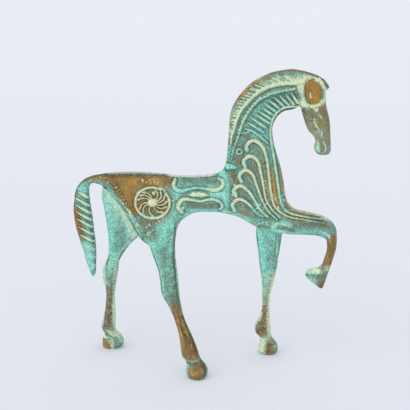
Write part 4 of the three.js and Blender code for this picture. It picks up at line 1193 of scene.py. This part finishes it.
class Graph:
    """Short forms for the nodes of one material."""

    def __init__(self, name):
        self.material = bpy.data.materials.new(name)
        self.material.use_nodes = True
        self.nodes = self.material.node_tree.nodes
        self.links = self.material.node_tree.links
        self.shader = self.nodes["Principled BSDF"]

    def fill(self, made, inputs):
        """Gives a node its inputs, by name or number: values, or the outputs of other nodes."""
        for key, value in inputs.items():
            if isinstance(value, bpy.types.NodeSocket):
                self.links.new(value, made.inputs[key])
            else:
                made.inputs[key].default_value = value

    def node(self, kind, inputs=None, **settings):
        made = self.nodes.new("ShaderNode" + kind)
        for name, value in settings.items():
            setattr(made, name, value)
        self.fill(made, inputs or {})
        return made

    def math(self, operation, a, b=0.0, c=0.0, clamp=False):
        made = self.node("Math", {0: a, 1: b, 2: c}, operation=operation, use_clamp=clamp)
        return made.outputs[0]

    def mix(self, share, a, b):
        """A colour between a and b."""
        return self.node("Mix", {0: share, 6: a, 7: b}, data_type="RGBA").outputs[2]

    def scaled(self, colour, factor):
        """The colour with its brightness times the factor."""
        return self.node("VectorMath", {0: colour, "Scale": factor}, operation="SCALE").outputs[0]

    def blend(self, share, a, b):
        """A number between a and b."""
        return self.node("Mix", {0: share, 2: a, 3: b}, data_type="FLOAT").outputs[0]

    def step(self, value, low, high):
        """0 below low, 1 above high and smooth between."""
        inputs = {"Value": value, "From Min": low, "From Max": high}
        return self.node("MapRange", inputs, interpolation_type="SMOOTHSTEP").outputs[0]

    def noise(self, place, size_mm, detail=1.0, roughness=0.5):
        """Noise between about -0.6 and 0.6 whose lumps are about the given size."""
        inputs = {"Vector": place, "Scale": 1 / (size_mm * MM), "Detail": detail, "Roughness": roughness}
        made = self.node("TexNoise", inputs)
        return self.math("MULTIPLY_ADD", made.outputs[0], 2.0, c=-1.0)

    def ramp(self, value, stops):
        made = self.node("ValToRGB", {0: value})
        elements = made.color_ramp.elements
        while len(elements) < len(stops):
            elements.new(0.5)
        for element, (position, colour) in zip(elements, stops):
            element.position = position
            element.color = colour
        return made.outputs[0]

    def channels(self, attribute):
        """Red, green and blue of what paint() has stored."""
        colour = self.node("Attribute", attribute_name=attribute).outputs["Color"]
        return self.node("SeparateColor", {0: colour}).outputs

    def add(self, *terms):
        """The sum of pairs of a value and its weight."""
        total = None
        for value, weight in terms:
            part = self.math("MULTIPLY", value, weight)
            total = part if total is None else self.math("ADD", total, part)
        return total


def verdigris_bronze():
    g = Graph("verdigris_bronze")
    place = g.node("TexCoord").outputs["Object"]
    ridge, groove, rim = g.channels("relief")
    bronze_share, pale_share, tone = g.channels("patina")
    warm, dust_and_highlight, bald = g.channels("dust_and_highlight")
    broad = g.noise(place, size_mm=8.0)
    mottle = g.noise(place, size_mm=3.0, detail=3.0, roughness=0.6)
    speckle = g.noise(place, size_mm=1.1)
    grain = g.noise(place, size_mm=0.55)
    fleck = g.noise(place, size_mm=0.8, detail=0.0)

    # Verdigris, which wears through a brown stain to the metal
    metal = g.ramp(g.add((tone, 0.7), (broad, 0.35), (mottle, 0.12), (0.2, 1.0)), METAL)
    green = g.ramp(g.add((tone, 0.75), (mottle, 0.25), (0.12, 1.0)), VERDIGRIS)
    worn = g.add((bronze_share, 1.0), (mottle, 0.24), (speckle, 0.2), (bald, 0.4))
    colour = g.mix(g.math("MULTIPLY", g.step(worn, 0.0, 0.6), STAIN_COVER), green, STAIN)
    bare = g.step(worn, 0.3, 0.9)
    colour = g.mix(bare, colour, metal)

    # Dark grooves, with painted shade along the rims, in corners and in creases
    sunk_and_shaded = g.add((groove, 0.88), (rim, 0.36), (speckle, 0.4), (bald, -0.1))
    recess_and_shade = g.step(sunk_and_shaded, 0.1, 0.95)
    colour = g.mix(g.math("MULTIPLY", recess_and_shade, RECESS_AND_SHADE_COVER), colour, g.mix(bare, RECESS_AND_SHADE, RECESS_AND_SHADE_BRONZE))

    # Pale powder on the raised lines and flecks of it elsewhere, with pale dust and a painted highlight on
    # edges that turn sideways
    flecks = g.step(g.add((fleck, 1.0), (broad, 0.3), (rim, 0.08), (groove, 0.06)), 0.3, 0.42)
    dusted_and_lit = g.add(
        (ridge, 1.0), (pale_share, 0.9), (dust_and_highlight, 1.1), (flecks, 0.35), (bare, -0.1), (bald, -0.3),
        (mottle, 0.3), (speckle, 0.2),
    )
    pale = g.step(dusted_and_lit, 0.0, 1.0)
    creamy = g.step(g.add((warm, 1.0), (pale_share, 0.3), (bare, 0.5), (mottle, 0.4)), 0.0, 1.0)
    powder_and_highlight = g.mix(dust_and_highlight, g.mix(creamy, AQUA, CREAM), DUST_AND_HIGHLIGHT)
    colour = g.mix(g.math("MULTIPLY", pale, POWDER_AND_HIGHLIGHT_COVER), colour, powder_and_highlight)

    # Unevenness of the brightness, calmer on powder and on metal
    uneven = g.add((mottle, 0.3), (speckle, 0.45), (grain, 1.1))
    depth = g.math("MULTIPLY", g.blend(pale, 1.0, 0.5), g.blend(bare, 1.0, 0.7))
    colour = g.scaled(colour, g.math("MULTIPLY_ADD", uneven, depth, c=1.0))

    shine = g.math("MULTIPLY", bare, g.math("SUBTRACT", 1.0, pale), clamp=True)
    lumps = g.add((mottle, 0.5), (speckle, 0.5), (grain, 0.4))
    bump = g.node("Bump", {"Height": lumps, "Strength": BUMP_STRENGTH, "Distance": BUMP_MM * MM})
    g.fill(g.shader, {
        "Base Color": colour,
        "Metallic": g.math("MULTIPLY", shine, METALLIC),
        "Roughness": g.blend(shine, PATINA_ROUGHNESS, METAL_ROUGHNESS),
        "Normal": bump.outputs[0],
    })
    return g.material


def horse():
    sheets = [
        plate_sheet(),
        leg_sheet(NEAR_HIND_LEG, NEAR_HIND_SPLAY),
        leg_sheet(FAR_HIND_LEG, FAR_HIND_SPLAY),
        leg_sheet(FAR_FORE_LEG, FAR_FORE_SPLAY),
    ]
    for seed, sheet in enumerate(sheets):
        sheet["distance"] = sheet["distance"] + WOBBLE * wobble(seed, EDGE_WAVES)
    near, far = relief_of(near=True), relief_of(near=False)
    near_height = near.finished() + FACE_WOBBLE * wobble(FACE_SEED, FACE_WAVES)
    far_height = far.finished() + FACE_WOBBLE * wobble(FACE_SEED + 1, FACE_WAVES)
    points, quads = surface_net(cast(sheets, near_height, far_height))
    z, x, y = points.T * CELL
    places = np.column_stack([x + GRID_X[0], y + GRID_Y[0], z + GRID_Z[0]]) + DRAWING_SHIFT
    thing = mesh_object("bronze_horse", places * MM, quads)
    thinned(thing, TRIANGLES)
    paint(thing, sheets, near, far)
    thing.data.materials.clear()
    thing.data.materials.append(verdigris_bronze())
    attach(thing, "root")
    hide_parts("horse")


# Surroundings

FLOOR_NEAR = linear(230, 233, 242)
FLOOR_FAR = linear(235, 239, 246)
FLOOR_HALF = 12.0
FLOOR_FADE = (-0.2, 1.6)  # between these depths the floor grows lighter: painted light on the far floor
WORLD_STRENGTH = 0.85


def add_camera():
    """The camera at the photo's viewing angle."""
    azimuth, elevation = math.radians(VIEW_AZIMUTH), math.radians(VIEW_ELEVATION)
    back = Vector((
        math.sin(azimuth) * math.cos(elevation),
        -math.cos(azimuth) * math.cos(elevation),
        math.sin(elevation),
    ))
    camera = bpy.data.cameras.new("camera")
    camera.sensor_width = SENSOR_MM
    camera.lens = VIEW_FOCAL_PIXELS / FRAME_PIXELS * SENSOR_MM
    holder = placed("camera", camera)
    target = (Vector(VIEW_TARGET) + Vector(DRAWING_SHIFT)) * MM
    holder.location = target + back * VIEW_DISTANCE * MM
    holder.rotation_euler = back.to_track_quat("Z", "Y").to_euler()
    bpy.context.scene.camera = holder


def add_sun(name, place, strength, spread, shadow=True):
    """A sun that shines from the given place towards the origin. The spread is its size in degrees."""
    light = bpy.data.lights.new(name, "SUN")
    light.energy = strength
    light.angle = math.radians(spread)
    light.use_shadow = shadow
    holder = placed(name, light)
    holder.location = place
    holder.rotation_euler = Vector(place).to_track_quat("Z", "Y").to_euler()


def add_floor():
    """A wide pale floor whose colour is a little lighter far behind the horse: painted light."""
    mesh = bpy.data.meshes.new("floor")
    corners = [(sx * FLOOR_HALF, sy * FLOOR_HALF, 0) for sx, sy in ((-1, -1), (1, -1), (1, 1), (-1, 1))]
    mesh.from_pydata(corners, [], [(0, 1, 2, 3)])
    g = Graph("pale_floor")
    place = g.node("TexCoord").outputs["Object"]
    depth = g.node("SeparateXYZ", {0: place}).outputs["Y"]
    # Painted light: the floor's colour grows lighter with depth
    colour = g.mix(g.step(depth, *FLOOR_FADE), FLOOR_NEAR, FLOOR_FAR)
    g.fill(g.shader, {"Base Color": colour, "Roughness": 1.0, "Specular IOR Level": 0.0})
    mesh.materials.append(g.material)
    placed("floor", mesh)


def add_world():
    world = bpy.data.worlds.new("studio")
    world.use_nodes = True
    background = world.node_tree.nodes["Background"]
    background.inputs["Color"].default_value = (1.0, 1.0, 1.0, 1.0)
    background.inputs["Strength"].default_value = WORLD_STRENGTH
    bpy.context.scene.world = world


add_camera()
bpy.context.scene.view_settings.view_transform = "Standard"
add_world()
add_floor()
add_sun("key", place=(-0.9, -1.0, 1.2), strength=0.35, spread=60.0)
add_sun("side", place=(-1.3, -0.7, 0.5), strength=0.6, spread=30.0, shadow=False)
horse()
